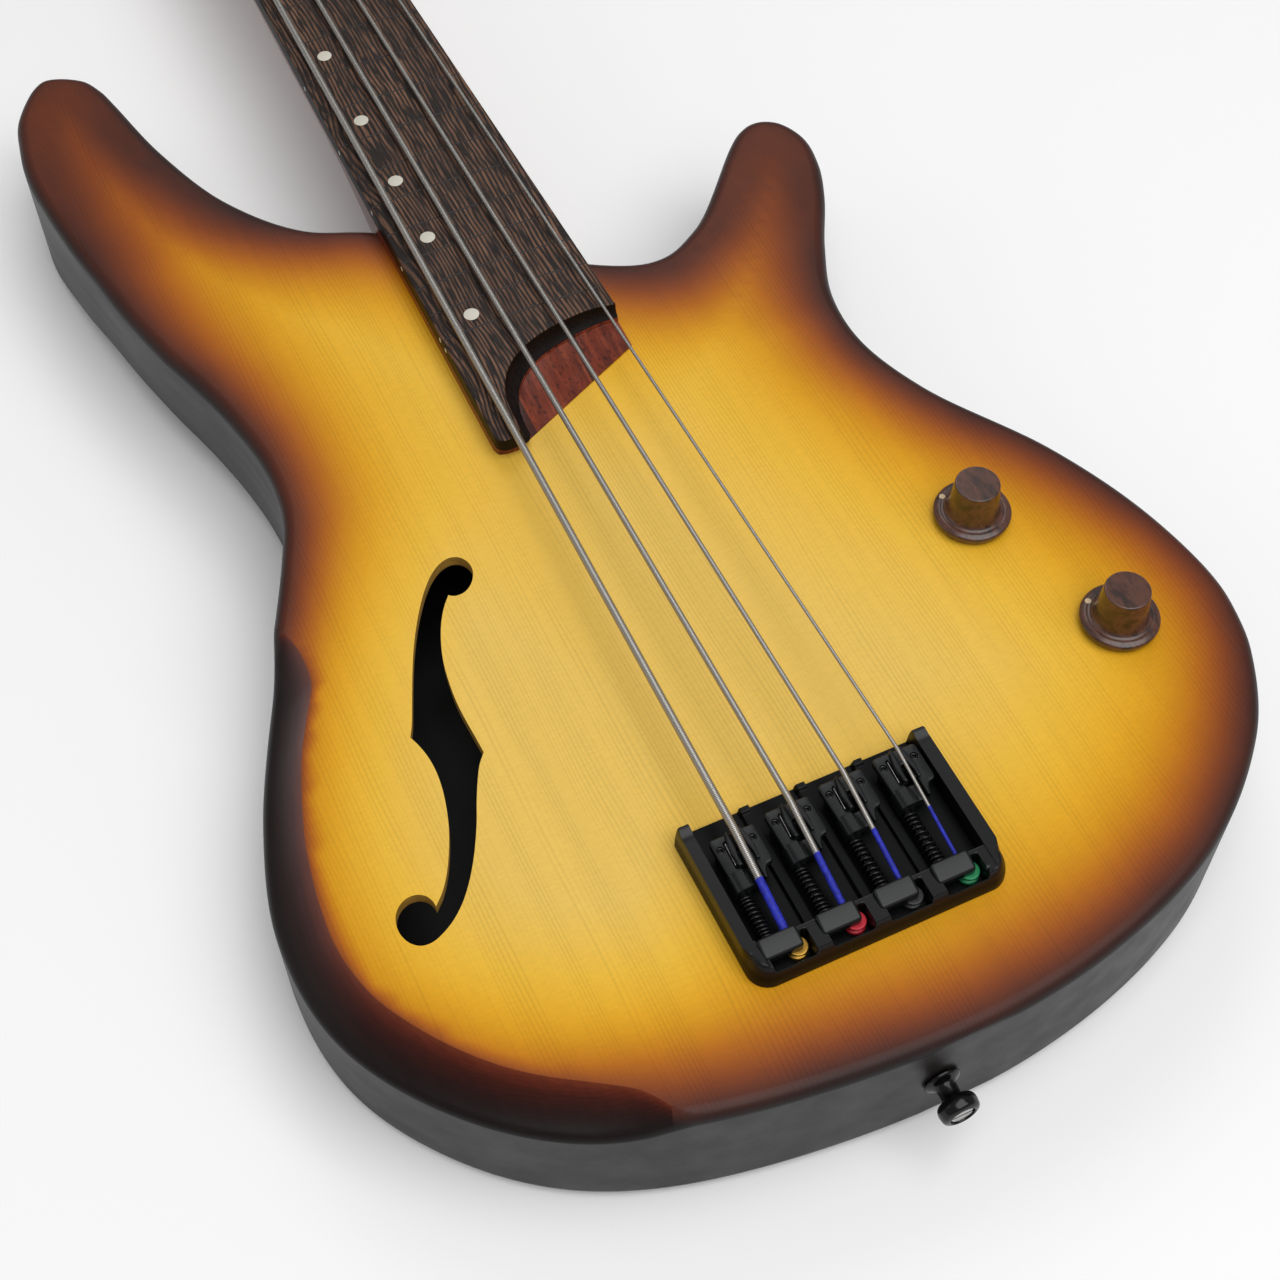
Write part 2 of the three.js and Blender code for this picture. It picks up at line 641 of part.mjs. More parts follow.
function makeNeck() {
  const octaveY = fretY(octaveFret);
  const rampLength = (octaveY - neck.heelRampY) / 2;
  const sections = neckSectionShares.map(({ place, beyondShare = 0, depthShare, square }) => {
    const y = place === 'heelEnd' ? neck.heelEndY : neck.heelRampY + rampLength * beyondShare;
    return neckSection(y, neck.heelDepth * depthShare, square);
  });
  const slim = neckSectionShares.at(-1).square;
  const shaft = skin([
    ...sections,
    neckSection(octaveY, neck.octaveDepth, slim),
    neckSection((octaveY + scaleLength) / 2, (neck.octaveDepth + neck.nutDepth) / 2, slim),
    neckSection(scaleLength, neck.nutDepth, slim),
    neckSection(nutRearY + headstock.thickness, neck.nutDepth, slim),
  ], (point) => [point[0], point[2]]);
  const toHead = headstockGroup.matrixWorld;
  const head = placed(slab(headstockOutline(), -headstock.thickness, 0), toHead);
  const aboveHead = placed(box([-headstock.width, 0, 0], [headstock.width, headstock.length, overrun]), toHead);
  const postBores = tunerPlaces.map(({ x, s }) => (
    placed(bar([x, s, -headstock.thickness - overrun], [x, s, overrun], tuner.bushingRadius + seatGap),
      toHead)));

  // The heel slopes down from the scoop to the top plate
  const scoopEdge = scoopLine(board.scoopFoot);
  const scoop = slab([...scoopEdge, [scoopEdge.at(-1)[0], neck.heelEndY - overrun],
    [scoopEdge[0][0], neck.heelEndY - overrun]], topZ, glueZ + overrun);
  const faceAngle = Math.atan2(heelFace.trebleY - heelFace.bassY, 2 * boardHalfWidth(heelFace.trebleY));
  const ramp = new THREE.Matrix4().makeRotationFromEuler(new THREE.Euler(
    THREE.MathUtils.degToRad(heelFace.slope), 0, faceAngle, 'ZXY'));
  ramp.setPosition(0, (heelFace.trebleY + heelFace.bassY) / 2, topZ + heelFace.lip);
  const reach = overrun * 4;
  const rampTool = placed(box([-reach, -reach, 0], [reach, reach, reach]), ramp).intersect(scoop);

  const channelTop = glueZ + overrun;
  const channelBottom = glueZ - trussRod.height - seatGap * 2;
  const half = trussRod.width / 2 + seatGap;
  const cuts = [
    aboveHead,
    ...postBores,
    rampTool,
    box([-half, trussRod.start - seatGap, channelBottom], [half, nutRearY + seatGap, channelTop]),
    box([-trussRod.nutRadius - seatGap, nutRearY - seatGap, channelBottom],
      [trussRod.nutRadius + seatGap, nutRearY + trussRod.tail + seatGap * 2, channelTop]),
    ...neckScrewPlaces.map(([x, y]) => (
      bar([x, y, heelBottomZ - overrun], [x, y, neckScrew.length + seatGap], neckScrew.radius + seatGap,
        boreSides))),
  ];
  const blank = shaft.intersect(slab(heelPlanLong(), heelBottomZ - overrun, glueZ + overrun)).add(head);
  addPart('neck', cuts.reduce((shape, cut) => shape.subtract(cut), blank), 'neckWood');

  const rodMiddle = glueZ - seatGap - trussRod.height / 2;
  const nutFrom = [0, nutRearY - nut.thickness / 2, rodMiddle];
  const nutTo = [0, nutRearY + trussRod.tail, rodMiddle];
  const rod = box([-trussRod.width / 2, trussRod.start, glueZ - seatGap - trussRod.height],
    [trussRod.width / 2, nutRearY - seatGap, glueZ - seatGap])
    .add(bar(nutFrom, nutTo, trussRod.width / 2, boreSides))
    .add(bar([0, nutRearY + seatGap, rodMiddle], nutTo, trussRod.nutRadius, 6))
    .subtract(bar([0, nutTo[1] - trussRod.tail / 2, rodMiddle], [0, nutTo[1] + overrun, rodMiddle],
      trussRod.socketRadius, 6));
  addPart('truss_rod', rod, 'steel');
}

// The heel's outline carried on past the headstock's root
function heelPlanLong() {
  const wide = headstock.width / 2;
  const far = scaleLength + headstock.length;
  return heelPlan(0).map(([x, y]) => (y > neck.heelRampY ? [Math.sign(x) * wide, far] : [x, y]));
}

function makeFingerboard() {
  const low = glueZ + seatGap;
  const high = crownZ + overrun;
  const bass = -boardHalfWidth(board.endY);
  const corner = board.tongueCorner;
  // Offsets of the scoop's wall on its way up, as shares of its foot and of the board's edge
  const coveShares = [[1, 0], [0.55, 0.22], [0.22, 0.5], [0, 0.9]];
  const levels = coveShares.map(([outShare, upShare]) => (
    { foot: board.scoopFoot * outShare, z: low + board.edgeThickness * upShare }));
  const rings = [...levels, { foot: 0, z: high }].map(({ foot, z }) => {
    const scoop = scoopLine(foot);
    const tongueX = scoop[0][0];
    return atHeight([
      [bass - overrun, board.endY + corner * 2],
      [bass - corner / 4, board.endY + corner],
      [bass + corner / 4, board.endY + corner / 4],
      [bass + corner, board.endY],
      [tongueX - corner, board.endY],
      [tongueX - corner / 4, board.endY + corner / 4],
      ...scoop,
      [scoop.at(-1)[0], scaleLength + overrun],
      [bass - overrun, scaleLength + overrun],
    ], z);
  });
  const crownSteps = 10;
  const ends = [board.endY - overrun, scaleLength - seatGap].map((y) => {
    const half = boardHalfWidth(y);
    const crown = Array.from({ length: crownSteps + 1 }, (_, step) => {
      const x = half * (1 - 2 * step / crownSteps);
      return [x, y, crownZ - crownDrop(x)];
    });
    return [[-half, y, glueZ], [half, y, glueZ], ...crown];
  });
  const crowned = skin(ends, (point) => [point[0], point[2]]);
  addPart('fingerboard', skin(rings).intersect(crowned), 'wenge');
}

// Strings: their places at the saddle and the nut

function stringAt(order) {
  const side = order - (stringNames.length - 1) / 2;
  const radius = stringRadii[order];
  const saddleX = side * stringSpacing.saddle;
  const nutX = side * stringSpacing.nut;
  return {
    name: stringNames[order],
    radius,
    saddleX,
    nutX,
    witnessY: -saddleSetbacks[order],
    saddleZ: crownZ - crownDrop(saddleX) + stringRise.saddle,
    nutZ: crownZ - crownDrop(nutX) + stringRise.nut + radius,
    tuner: tunerPlaces[order],
  };
}

const strings = stringNames.map((_, order) => stringAt(order));
const stringHoleZ = bridgeZ + bridge.stringHoleHeight;
const bulkheadRearY = bridge.bulkheadY - bridge.bulkheadThickness;

// A tube through points: each ring lies across the bend, and the frame is carried along
function tube(points, radius, sides) {
  const path = points.map((point) => new THREE.Vector3(...point));
  const tangents = path.map((point, place) => {
    const before = path[Math.max(place - 1, 0)];
    const after = path[Math.min(place + 1, path.length - 1)];
    const into = point.clone().sub(before).normalize();
    const out = after.clone().sub(point).normalize();
    return into.add(out).normalize();
  });
  let across = new THREE.Vector3(0, 0, 1);
  const rings = path.map((point, place) => {
    across = across.clone().projectOnPlane(tangents[place]).normalize();
    const up = tangents[place].clone().cross(across);
    return Array.from({ length: sides }, (_, side) => {
      const angle = side / sides * Math.PI * 2;
      return point.clone()
        .addScaledVector(across, radius * Math.cos(angle))
        .addScaledVector(up, radius * Math.sin(angle))
        .toArray();
    });
  });
  let step = 0;
  return skin(rings, () => {
    const angle = step++ / sides * Math.PI * 2;
    return [Math.cos(angle), Math.sin(angle)];
  });
}

// Least air between stretches of one tube that lie more than half a turn apart
function leastGap(points, radius, halfTurn) {
  let least = Infinity;
  for (let a = 0; a < points.length; a += 1) {
    for (let b = a + halfTurn; b < points.length; b += 1) {
      const apart = Math.hypot(...points[a].map((value, axis) => value - points[b][axis]));
      least = Math.min(least, apart - radius * 2);
    }
  }
  return least;
}

// The turns on the post run down it from the point where the string meets it
function windingPoints(string) {
  const stepsPerLoop = 24;
  const { x: postX, s: postS } = string.tuner;
  const turnRadius = tuner.waistRadius + seatGap + string.radius;
  const hand = Math.sign(-postX);
  const toPost = Math.atan2(postS, postX - string.nutX);
  const distance = Math.hypot(postS, postX - string.nutX);
  const heading = toPost - hand * Math.asin(turnRadius / distance);
  const startAngle = heading - hand * Math.PI / 2;
  const pitch = string.radius * 2 + coilGap;
  const count = winding.loops * stepsPerLoop;
  const loops = Array.from({ length: count + 1 }, (_, step) => {
    const angle = startAngle + hand * step / stepsPerLoop * Math.PI * 2;
    return [
      postX + turnRadius * Math.cos(angle),
      postS + turnRadius * Math.sin(angle),
      winding.top - pitch * step / stepsPerLoop,
    ];
  });
  const [last] = loops.slice(-1);
  const tangent = startAngle + hand * (winding.loops * Math.PI * 2 + Math.PI / 2);
  const tail = string.radius * 2;
  loops.push([last[0] + tail * Math.cos(tangent), last[1] + tail * Math.sin(tangent), last[2]]);
  console.log(`string ${string.name}: least gap between turns`,
    leastGap(loops, string.radius, stepsPerLoop / 2).toFixed(2));
  return loops.map((point) => (
    new THREE.Vector3(...point).applyMatrix4(headstockGroup.matrixWorld).toArray()));
}

function makeString(string) {
  const sides = 6;
  const ballY = bulkheadRearY - seatGap - ballEnd.radius;
  const route = [
    [string.saddleX, ballY, stringHoleZ],
    [string.saddleX, bridge.bulkheadY, stringHoleZ + seatGap / 2],
    [string.saddleX, string.witnessY, string.saddleZ],
    [string.nutX, scaleLength, string.nutZ],
    [string.nutX, nutRearY, string.nutZ],
    ...windingPoints(string),
  ];
  const half = ballEnd.height / 2;
  const spool = revolve([
    [0, -half], [ballEnd.radius, -half], [ballEnd.radius, ballEnd.lip - half],
    [ballEnd.waistRadius, ballEnd.lip - half / 2], [ballEnd.waistRadius, half / 2 - ballEnd.lip],
    [ballEnd.radius, half - ballEnd.lip], [ballEnd.radius, half], [0, half],
  ], boreSides);
  const place = new THREE.Matrix4().makeTranslation(string.saddleX, ballY, stringHoleZ);
  addPart(`string_${string.name}`, tube(route, string.radius, sides).add(placed(spool, place)), 'string');
}

function makeNut() {
  const half = nut.width / 2;
  const lowZ = glueZ + seatGap;
  const block = box([-half, scaleLength, lowZ], [half, nutRearY, crownZ + nut.rise]);
  const slots = strings.flatMap((string) => {
    const wide = string.radius + seatGap;
    const from = [string.nutX, scaleLength - overrun, string.nutZ];
    const to = [string.nutX, nutRearY + overrun, string.nutZ];
    return [bar(from, to, wide, boreSides), box([string.nutX - wide, from[1], string.nutZ],
      [string.nutX + wide, to[1], string.nutZ + overrun])];
  });
  addPart('nut', slots.reduce((shape, slot) => shape.subtract(slot), block), 'nutBone');
}

// Bridge

function makeBridgeBase() {
  const half = bridge.width / 2;
  const floorTop = bridgeZ + bridge.floor;
  const inner = half - bridge.railWidth;
  // Square corners in front, rounded ones behind
  const plan = roundedRectangle(-half, half, bridge.rear, bridge.front, bridge.cornerRadius, 5, 0);
  const railTop = bridgeZ + bridge.railHeight;
  const railBevel = bridge.railWidth / 5;
  const rail = (side) => {
    const [left, right] = side > 0 ? [inner, half] : [-half, -inner];
    return slab(roundedRectangle(left, right, bridge.bulkheadY - bridge.bulkheadThickness,
      bridge.front + railBevel, railBevel * 1.5), bridgeZ, railTop, railBevel);
  };
  const ribs = strings.slice(1).map((string) => {
    const x = string.saddleX - stringSpacing.saddle / 2;
    return box([x - bridge.ribWidth / 2, bridge.rear + bridge.cornerRadius, bridgeZ],
      [x + bridge.ribWidth / 2, bridge.front - bridge.ribWidth, bridgeZ + bridge.ribHeight]);
  });
  // Behind the blocks a ledge slopes down to the rear; a rounded corner as high as the rails closes each end
  const wall = ([left, right], height, slope) => slab(plan, bridgeZ - slope, bridgeZ + height, slope)
    .intersect(box([left, bridge.rear - overrun, bridgeZ], [right, bridge.bulkheadY, bridgeZ + overrun]));
  const ledge = wall([-half, half], bridge.rearHeight, bridge.rearHeight * bridge.rearSlopeShare);
  const corners = [
    [-half, strings[0].saddleX - block.left + seatGap],
    [half - bridge.cornerRadius, half],
  ].map((reach) => wall(reach, bridge.railHeight, bridge.railHeight * bridge.cornerSlopeShare));
  const blocks = strings.map(({ saddleX }) => slab(roundedRectangle(saddleX - block.left,
    saddleX + block.right, bridge.bulkheadY - block.length, bridge.bulkheadY, block.bevel * 1.5),
  bridgeZ + bridge.floor, bridgeZ + block.height, block.bevel));
  const mouthRound = (mouth.height - mouth.floor) / 3;
  const cuts = strings.flatMap(({ saddleX, radius }) => {
    const arch = roundedRectangle(saddleX - mouth.left, saddleX + mouth.right, mouth.floor, mouth.height,
      mouthRound);
    const tunnel = slab(arch, 0, overrun * 2);
    const lay = new THREE.Matrix4().makeRotationX(Math.PI / 2);
    lay.setPosition(0, bulkheadRearY, bridgeZ);
    const screwX = saddleX - intonation.offset;
    const screwZ = bridgeZ + intonation.height;
    return [
      placed(tunnel, lay),
      bar([saddleX, bulkheadRearY - overrun, stringHoleZ], [saddleX, bridge.bulkheadY + overrun,
        stringHoleZ + seatGap / 2], radius + seatGap, boreSides),
      bar([screwX, bulkheadRearY - seatGap, screwZ], [screwX, bridge.bulkheadY + overrun, screwZ],
        intonation.radius + seatGap, boreSides),
    ];
  });
  const parts = [slab(plan, bridgeZ, floorTop), rail(-1), rail(1), ...ribs, ledge, ...corners, ...blocks];
  const base = parts.reduce((shape, part) => shape.add(part));
  const cut = cuts.reduce((shape, tool) => shape.subtract(tool), base);
  addPart('bridge_base', cut, 'black');
}

function makeSaddle(string) {
  const x = string.saddleX;
  const front = string.witnessY + saddle.front;
  const rear = front - saddle.length;
  const topLevel = bridgeZ + saddle.top;
  const under = bridgeZ + saddle.underside;
  const floorTop = bridgeZ + bridge.floor + seatGap;
  const plan = [
    ...roundedRectangle(x - saddle.left, x + saddle.right, rear, front, saddle.corner),
  ];
  const plate = slab(plan, under, topLevel, saddle.bevel);
  // The rear of the plate steps in on the thin-string side
  const step = box([x + saddle.right / 2, rear - overrun, under - overrun],
    [x + saddle.right + overrun, rear + saddle.stepLength / 4, topLevel + overrun]);
  const barrelRear = string.witnessY - barrel.rear;
  const screwX = x - intonation.offset;
  const screwZ = bridgeZ + intonation.height;
  const barrelFront = barrelRear + barrel.blindLength;
  const housing = slab(roundedRectangle(x - barrel.left, x - barrel.right, barrelRear, barrelFront,
    barrel.bevel * 1.5), bridgeZ + barrel.bottom, topLevel - saddle.bevel, barrel.bevel);
  const legs = [[-saddle.left + saddle.screwRadius * 1.6, -saddle.stepLength],
    [saddle.right - saddle.screwRadius * 1.4, -saddle.stepLength]]
    .map(([across, back]) => bar([x + across, front + back, floorTop],
      [x + across, front + back, under + saddle.bevel * 2], saddle.screwRadius, boreSides));
  // Two ridges stand beside the string and share its groove
  const grooveHalf = string.radius + seatGap * 1.5;
  const ridgeTop = string.saddleZ - seatGap;
  const ridges = [-1, 1].map((side) => {
    const inner = x + side * (grooveHalf - seatGap);
    const outer = inner + side * saddle.ridgeWidth;
    return slab(roundedRectangle(Math.min(inner, outer), Math.max(inner, outer), front - saddle.ridgeLength,
      front - saddle.bevel, saddle.ridgeWidth / 3, 1), under, ridgeTop, saddle.ridgeWidth / 5);
  });
  const solidParts = [plate, housing, ...legs, ...ridges].reduce((shape, part) => shape.add(part));
  const grooveZ = string.saddleZ - string.radius - saddle.witnessGap;
  const slope = THREE.MathUtils.degToRad(saddle.grooveSlope);
  const behind = new THREE.Matrix4().makeRotationX(slope);
  behind.setPosition(x, string.witnessY, grooveZ);
  const rearGroove = placed(box([-grooveHalf, -overrun * 2, 0], [grooveHalf, 0, overrun]), behind);
  const frontGroove = box([x - grooveHalf, string.witnessY - saddle.bevel, grooveZ],
    [x + grooveHalf, front + overrun, grooveZ + overrun]);
  const bore = bar([screwX, barrelRear - overrun, screwZ], [screwX, barrelFront - barrel.bevel * 2, screwZ],
    intonation.radius + seatGap, boreSides);
  const shape = solidParts.subtract(step).subtract(rearGroove).subtract(frontGroove).subtract(bore);
  addPart(`saddle_${string.name}`, shape, 'black');

  const headFace = bulkheadRearY - seatGap;
  const tip = barrelRear + intonation.reach;
  const screw = bar([screwX, tip, screwZ], [screwX, headFace, screwZ], intonation.radius, boreSides)
    .add(bar([screwX, headFace, screwZ], [screwX, headFace - intonation.headLength, screwZ],
      intonation.headRadius, boreSides))
    .subtract(bar([screwX, headFace - intonation.headLength / 2, screwZ],
      [screwX, headFace - overrun, screwZ], intonation.headRadius / 2, 6));
  addPart(`intonation_screw_${string.name}`, screw, 'black');
  makeSpring(string, screwX, screwZ, barrelRear);
}

// A coil round the screw: its turns are a helix, and each end turns square to what it presses on
function makeSpring(string, x, z, barrelRear) {
  const radius = intonation.radius + spring.innerGap + spring.wireRadius;
  const low = bridge.bulkheadY + seatGap;
  const high = barrelRear - seatGap;
  const endRun = spring.wireRadius * 2;
  const helixLength = high - low - endRun * 2;
  const count = spring.turns * spring.steps;
  const points = Array.from({ length: count + 1 }, (_, step) => {
    const angle = step / spring.steps * Math.PI * 2;
    return [x + radius * Math.cos(angle), low + endRun + helixLength * step / count,
      z + radius * Math.sin(angle)];
  });
  const [first] = points;
  const [last] = points.slice(-1);
  const whole = [[first[0], low, first[2]], ...points, [last[0], high, last[2]]];
  console.log(`spring ${string.name}: least gap between turns`,
    leastGap(points, spring.wireRadius, spring.steps / 2).toFixed(2));
  addPart(`spring_${string.name}`, tube(whole, spring.wireRadius, spring.sides), 'black');
}

// Tuners, modelled in the headstock's own frame: x across, y along it, z out of its face

function makeTuner(place) {
  const { name, x, s } = place;
  const side = Math.sign(x);
  const back = -headstock.thickness - seatGap;
  const bushing = revolve([
    [tuner.postRadius + seatGap, back + seatGap * 2], [tuner.bushingRadius, back + seatGap * 2],
    [tuner.bushingRadius, seatGap], [tuner.flangeRadius, seatGap],
    [tuner.flangeRadius, seatGap + tuner.flangeHeight / 2],
    [tuner.bushingRadius, seatGap + tuner.flangeHeight],
    [tuner.postRadius + seatGap, seatGap + tuner.flangeHeight],
    [tuner.postRadius + seatGap, back + seatGap * 2],
  ], roundSides);
  const at = new THREE.Matrix4().makeTranslation(x, s, 0);
  addPart(`tuner_bushing_${name}`, placed(bushing, at), 'black', headstockGroup);

  const foot = back - tuner.housingHeight + tuner.plateThickness + seatGap;
  const post = revolve([
    [0, foot], [tuner.postRadius, foot], [tuner.postRadius, tuner.waistBottom - seatGap / 2],
    [tuner.waistRadius, tuner.waistBottom], [tuner.waistRadius, tuner.waistTop],
    [tuner.postRadius, tuner.waistTop + seatGap * 2],
    [tuner.postRadius, tuner.postHeight - seatGap * 2], [tuner.waistRadius, tuner.postHeight],
    [0, tuner.postHeight],
  ], roundSides)
    .subtract(box([-tuner.slotWidth / 2, -overrun, tuner.postHeight - tuner.slotDepth],
      [tuner.slotWidth / 2, overrun, tuner.postHeight + overrun]))
    .subtract(bar([0, 0, tuner.postHeight - tuner.slotDepth * 1.6], [0, 0, tuner.postHeight + overrun],
      tuner.boreRadius, boreSides));
  addPart(`tuner_post_${name}`, placed(post, at), 'black', headstockGroup);

  const keyS = s - tuner.keyOffset;
  const keyZ = back - tuner.keyDepth;
  const wide = tuner.housingWidth / 2;
  const casing = slab(roundedRectangle(x - wide, x + wide, s - tuner.keyOffset - tuner.collarRadius,
    s - tuner.keyOffset - tuner.collarRadius + tuner.housingLength, wide / 2),
  back - tuner.housingHeight, back, tuner.plateThickness)
    .add(slab(roundedRectangle(x - wide, x + wide, s - tuner.plateLength / 2, s + tuner.plateLength / 2,
      wide / 2), back - tuner.plateThickness, back))
    .subtract(bar([x, s, foot - seatGap], [x, s, overrun], tuner.postRadius + seatGap))
    .subtract(bar([x - side * wide / 2, keyS, keyZ], [x + side * overrun * 2, keyS, keyZ],
      tuner.keyRadius + seatGap, boreSides));
  addPart(`tuner_housing_${name}`, casing, 'black', headstockGroup);

  const casingEdge = x + side * wide;
  const buttonStart = side * (headstock.width / 2 + tunerButton.clearance);
  const buttonEnd = buttonStart + side * tunerButton.length;
  const paddle = slab(roundedRectangle(Math.min(buttonStart, buttonEnd), Math.max(buttonStart, buttonEnd),
    keyS - tunerButton.width / 2, keyS + tunerButton.width / 2, tunerButton.length / 3, 3),
  keyZ - tunerButton.thickness / 2, keyZ + tunerButton.thickness / 2, tunerButton.bevel);
  const key = paddle
    .add(bar([x - side * (wide / 2 - seatGap), keyS, keyZ],
      [buttonStart + side * tunerButton.bevel, keyS, keyZ], tuner.keyRadius, boreSides))
    .add(bar([casingEdge + side * seatGap, keyS, keyZ],
      [casingEdge + side * tunerButton.stem, keyS, keyZ], tuner.collarRadius, boreSides,
      tuner.keyRadius));
  addPart(`tuner_key_${name}`, key, 'black', headstockGroup);
}

// Controls

function makeKnob({ name, acrossShare, alongShare }) {
  const at = new THREE.Matrix4().makeTranslation(...bodyPoint([acrossShare, alongShare]), topZ);
  const low = knob.lift;
  const high = low + knob.height;
  // The flare between skirt and stem, as shares of its width and of its height
  const flareShares = [[1, 0.1], [0.6, 0.38], [0.24, 0.68], [0, 1]];
  const flareHigh = knob.waistHeight;
  const flare = flareShares.map(([outShare, upShare]) => [
    knob.waistRadius + (knob.skirtRadius - knob.topRound - knob.waistRadius) * outShare,
    low + knob.skirtEdge + (flareHigh - knob.skirtEdge) * upShare,
  ]);
  const shape = revolve([
    [0, low], [knob.skirtRadius - knob.topRound / 2, low], [knob.skirtRadius, low + knob.topRound / 2],
    [knob.skirtRadius, low + knob.skirtEdge - knob.topRound / 2],
    ...flare,
    [knob.stemRadius, high - knob.topRound], [knob.stemRadius - knob.topRound / 3, high - knob.topRound / 3],
    [knob.stemRadius - knob.topRound, high], [0, high],
  ])
    .subtract(bar([0, 0, low - overrun], [0, 0, low + knob.hollowHeight], knob.hollowRadius))
    .subtract(bar([0, 0, low - overrun], [0, 0, knob.bore], pot.shaftRadius + seatGap, boreSides))
    .subtract(bar([pot.shaftRadius, 0, knob.grubHeight], [overrun, 0, knob.grubHeight], knob.grubRadius,
      boreSides / 2));
  addPart(`knob_${name}`, placed(shape, at), 'rosewood');

  const plateLow = coreTopZ + seatGap - topZ;
  const shaftLow = plateLow - pot.shaftBottom;
  addPart(`pot_shaft_${name}`, placed(bar([0, 0, shaftLow], [0, 0, pot.shaftTop], pot.shaftRadius,
    boreSides), at), 'steel');

  const can = bar([0, 0, plateLow - seatGap - pot.bodyHeight], [0, 0, plateLow - seatGap], pot.bodyRadius)
    .add(bar([0, 0, plateLow - pot.bodyHeight / 2], [0, 0, pot.bushingRise], pot.bushingRadius))
    .subtract(bar([0, 0, shaftLow - seatGap], [0, 0, overrun], pot.shaftRadius + seatGap, boreSides));
  addPart(`pot_${name}`, placed(can, at), 'steel');

  const ring = bar([0, 0, seatGap], [0, 0, seatGap + pot.nutHeight], pot.nutRadius, 6)
    .subtract(bar([0, 0, -overrun], [0, 0, overrun], pot.bushingRadius + seatGap));
  addPart(`pot_nut_${name}`, placed(ring, at), 'steel');
}

function makeElectronics() {
  const plateLow = coreTopZ + seatGap;
  const boardHigh = plateLow - seatGap;
  const boardLow = boardHigh - preamp.thickness;
  const half = [preamp.width / 2, preamp.length / 2];
  const [preampX, preampY] = bodyPoint([electronicsShares.across, electronicsShares.preampAlong]);
  const partShares = [[-0.5, -0.6, 0.5], [0.4, -0.2, 1], [-0.3, 0.4, 0.8]];
  const parts = partShares.map(([acrossShare, alongShare, heightShare]) => {
    const x = preampX + acrossShare * half[0];
    const y = preampY + alongShare * half[1];
    const size = preamp.partHeight / 2;
    return box([x - size, y - size * 1.5, boardLow - preamp.partHeight * heightShare],
      [x + size, y + size * 1.5, boardHigh - preamp.thickness / 2]);
  });
  const circuit = box([preampX - half[0], preampY - half[1], boardLow],
    [preampX + half[0], preampY + half[1], boardHigh]);
  addPart('preamp_board', parts.reduce((shape, part) => shape.add(part), circuit), 'plastic');

  const low = cover.thickness + seatGap;
  const cell = [battery.width / 2, battery.length / 2];
  const [cellX, cellY] = bodyPoint([electronicsShares.across, electronicsShares.batteryAlong]);
  const caseShape = slab(roundedRectangle(cellX - cell[0], cellX + cell[0], cellY - cell[1], cellY + cell[1],
    battery.snapHeight), low, low + battery.height);
  const snaps = [-1, 1].map((side) => {
    const x = cellX + side * cell[0] / 2;
    const y = cellY + cell[1];
    const z = low + battery.height / 2;
    return bar([x, y - battery.snapHeight, z], [x, y + battery.snapHeight, z], battery.snapRadius,
      boreSides);
  });
  addPart('battery', snaps.reduce((shape, snap) => shape.add(snap), caseShape), 'plastic');

  const { x, y, z } = jackPlace;
  const face = x + seatGap + jack.flangeThickness;
  const barrelShape = bar([x - jack.length, y, z], [x + seatGap, y, z], jack.barrelRadius)
    .add(bar([x + seatGap, y, z], [face, y, z], jack.flangeRadius, fineSides))
    .subtract(bar([face - jack.boreDepth, y, z], [face + overrun, y, z], jack.boreRadius));
  addPart('output_jack', barrelShape, 'black');
}

function makeFittings() {
  const b = strapButton;
  const headLow = b.length - b.headHeight;
  for (const place of strapPlaces) {
    const at = new THREE.Matrix4().makeRotationX(place.turn);
    at.setPosition(place.x, place.y - Math.sign(place.turn) * seatGap, place.z);
    const button = revolve([
      [b.boreRadius, 0], [b.flangeRadius, 0], [b.flangeRadius, b.flangeHeight],
      [b.waistRadius, b.flangeHeight + b.waistRadius / 2], [b.waistRadius, headLow - b.waistRadius / 2],
      [b.headRadius - b.flangeHeight / 2, headLow], [b.headRadius, headLow + b.flangeHeight / 2],
      [b.headRadius, b.length - b.flangeHeight / 2], [b.headRadius - b.flangeHeight / 2, b.length],
      [b.recessRadius, b.length], [b.recessRadius, b.length - b.recessDepth],
      [b.boreRadius, b.length - b.recessDepth], [b.boreRadius, 0],
    ], roundSides);
    addPart(`strap_button_${place.name}`, placed(button, at), 'black');
    const seat = b.length - b.recessDepth + seatGap;
    const screw = bar([0, 0, seatGap - strapScrew.depth], [0, 0, seat + seatGap], strapScrew.radius,
      boreSides)
      .add(bar([0, 0, seat], [0, 0, seat + strapScrew.headHeight], strapScrew.headRadius, roundSides))
      .subtract(box([-overrun, -strapScrew.slotWidth / 2, seat + strapScrew.headHeight
        - strapScrew.slotDepth], [overrun, strapScrew.slotWidth / 2, overrun * 2]));
    addPart(`strap_screw_${place.name}`, placed(screw, at), 'black');
  }
  neckScrewPlaces.forEach(([x, y], place) => {
    const screw = bar([x, y, seatGap], [x, y, neckScrew.length], neckScrew.radius, boreSides)
      .add(bar([x, y, seatGap], [x, y, neckScrew.headHeight], neckScrew.headRadius))
      .subtract(bar([x, y, -overrun], [x, y, neckScrew.headHeight / 2], neckScrew.headRadius / 2, 6));
    addPart(`neck_screw_${place + 1}`, screw, 'black');
  });
}

makeBody();
makeNeck();
makeFingerboard();
makeNut();
makeBridgeBase();
strings.forEach(makeSaddle);
strings.forEach(makeString);
tunerPlaces.forEach(makeTuner);
knobPlaces.forEach(makeKnob);
makeElectronics();
makeFittings();

export default guitar;
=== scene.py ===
"""A fretless bass guitar dressed for its studio picture."""

import json
import math

import bmesh
import bpy
import numpy as np
from mathutils import Matrix, Vector
from mathutils.geometry import delaunay_2d_cdt


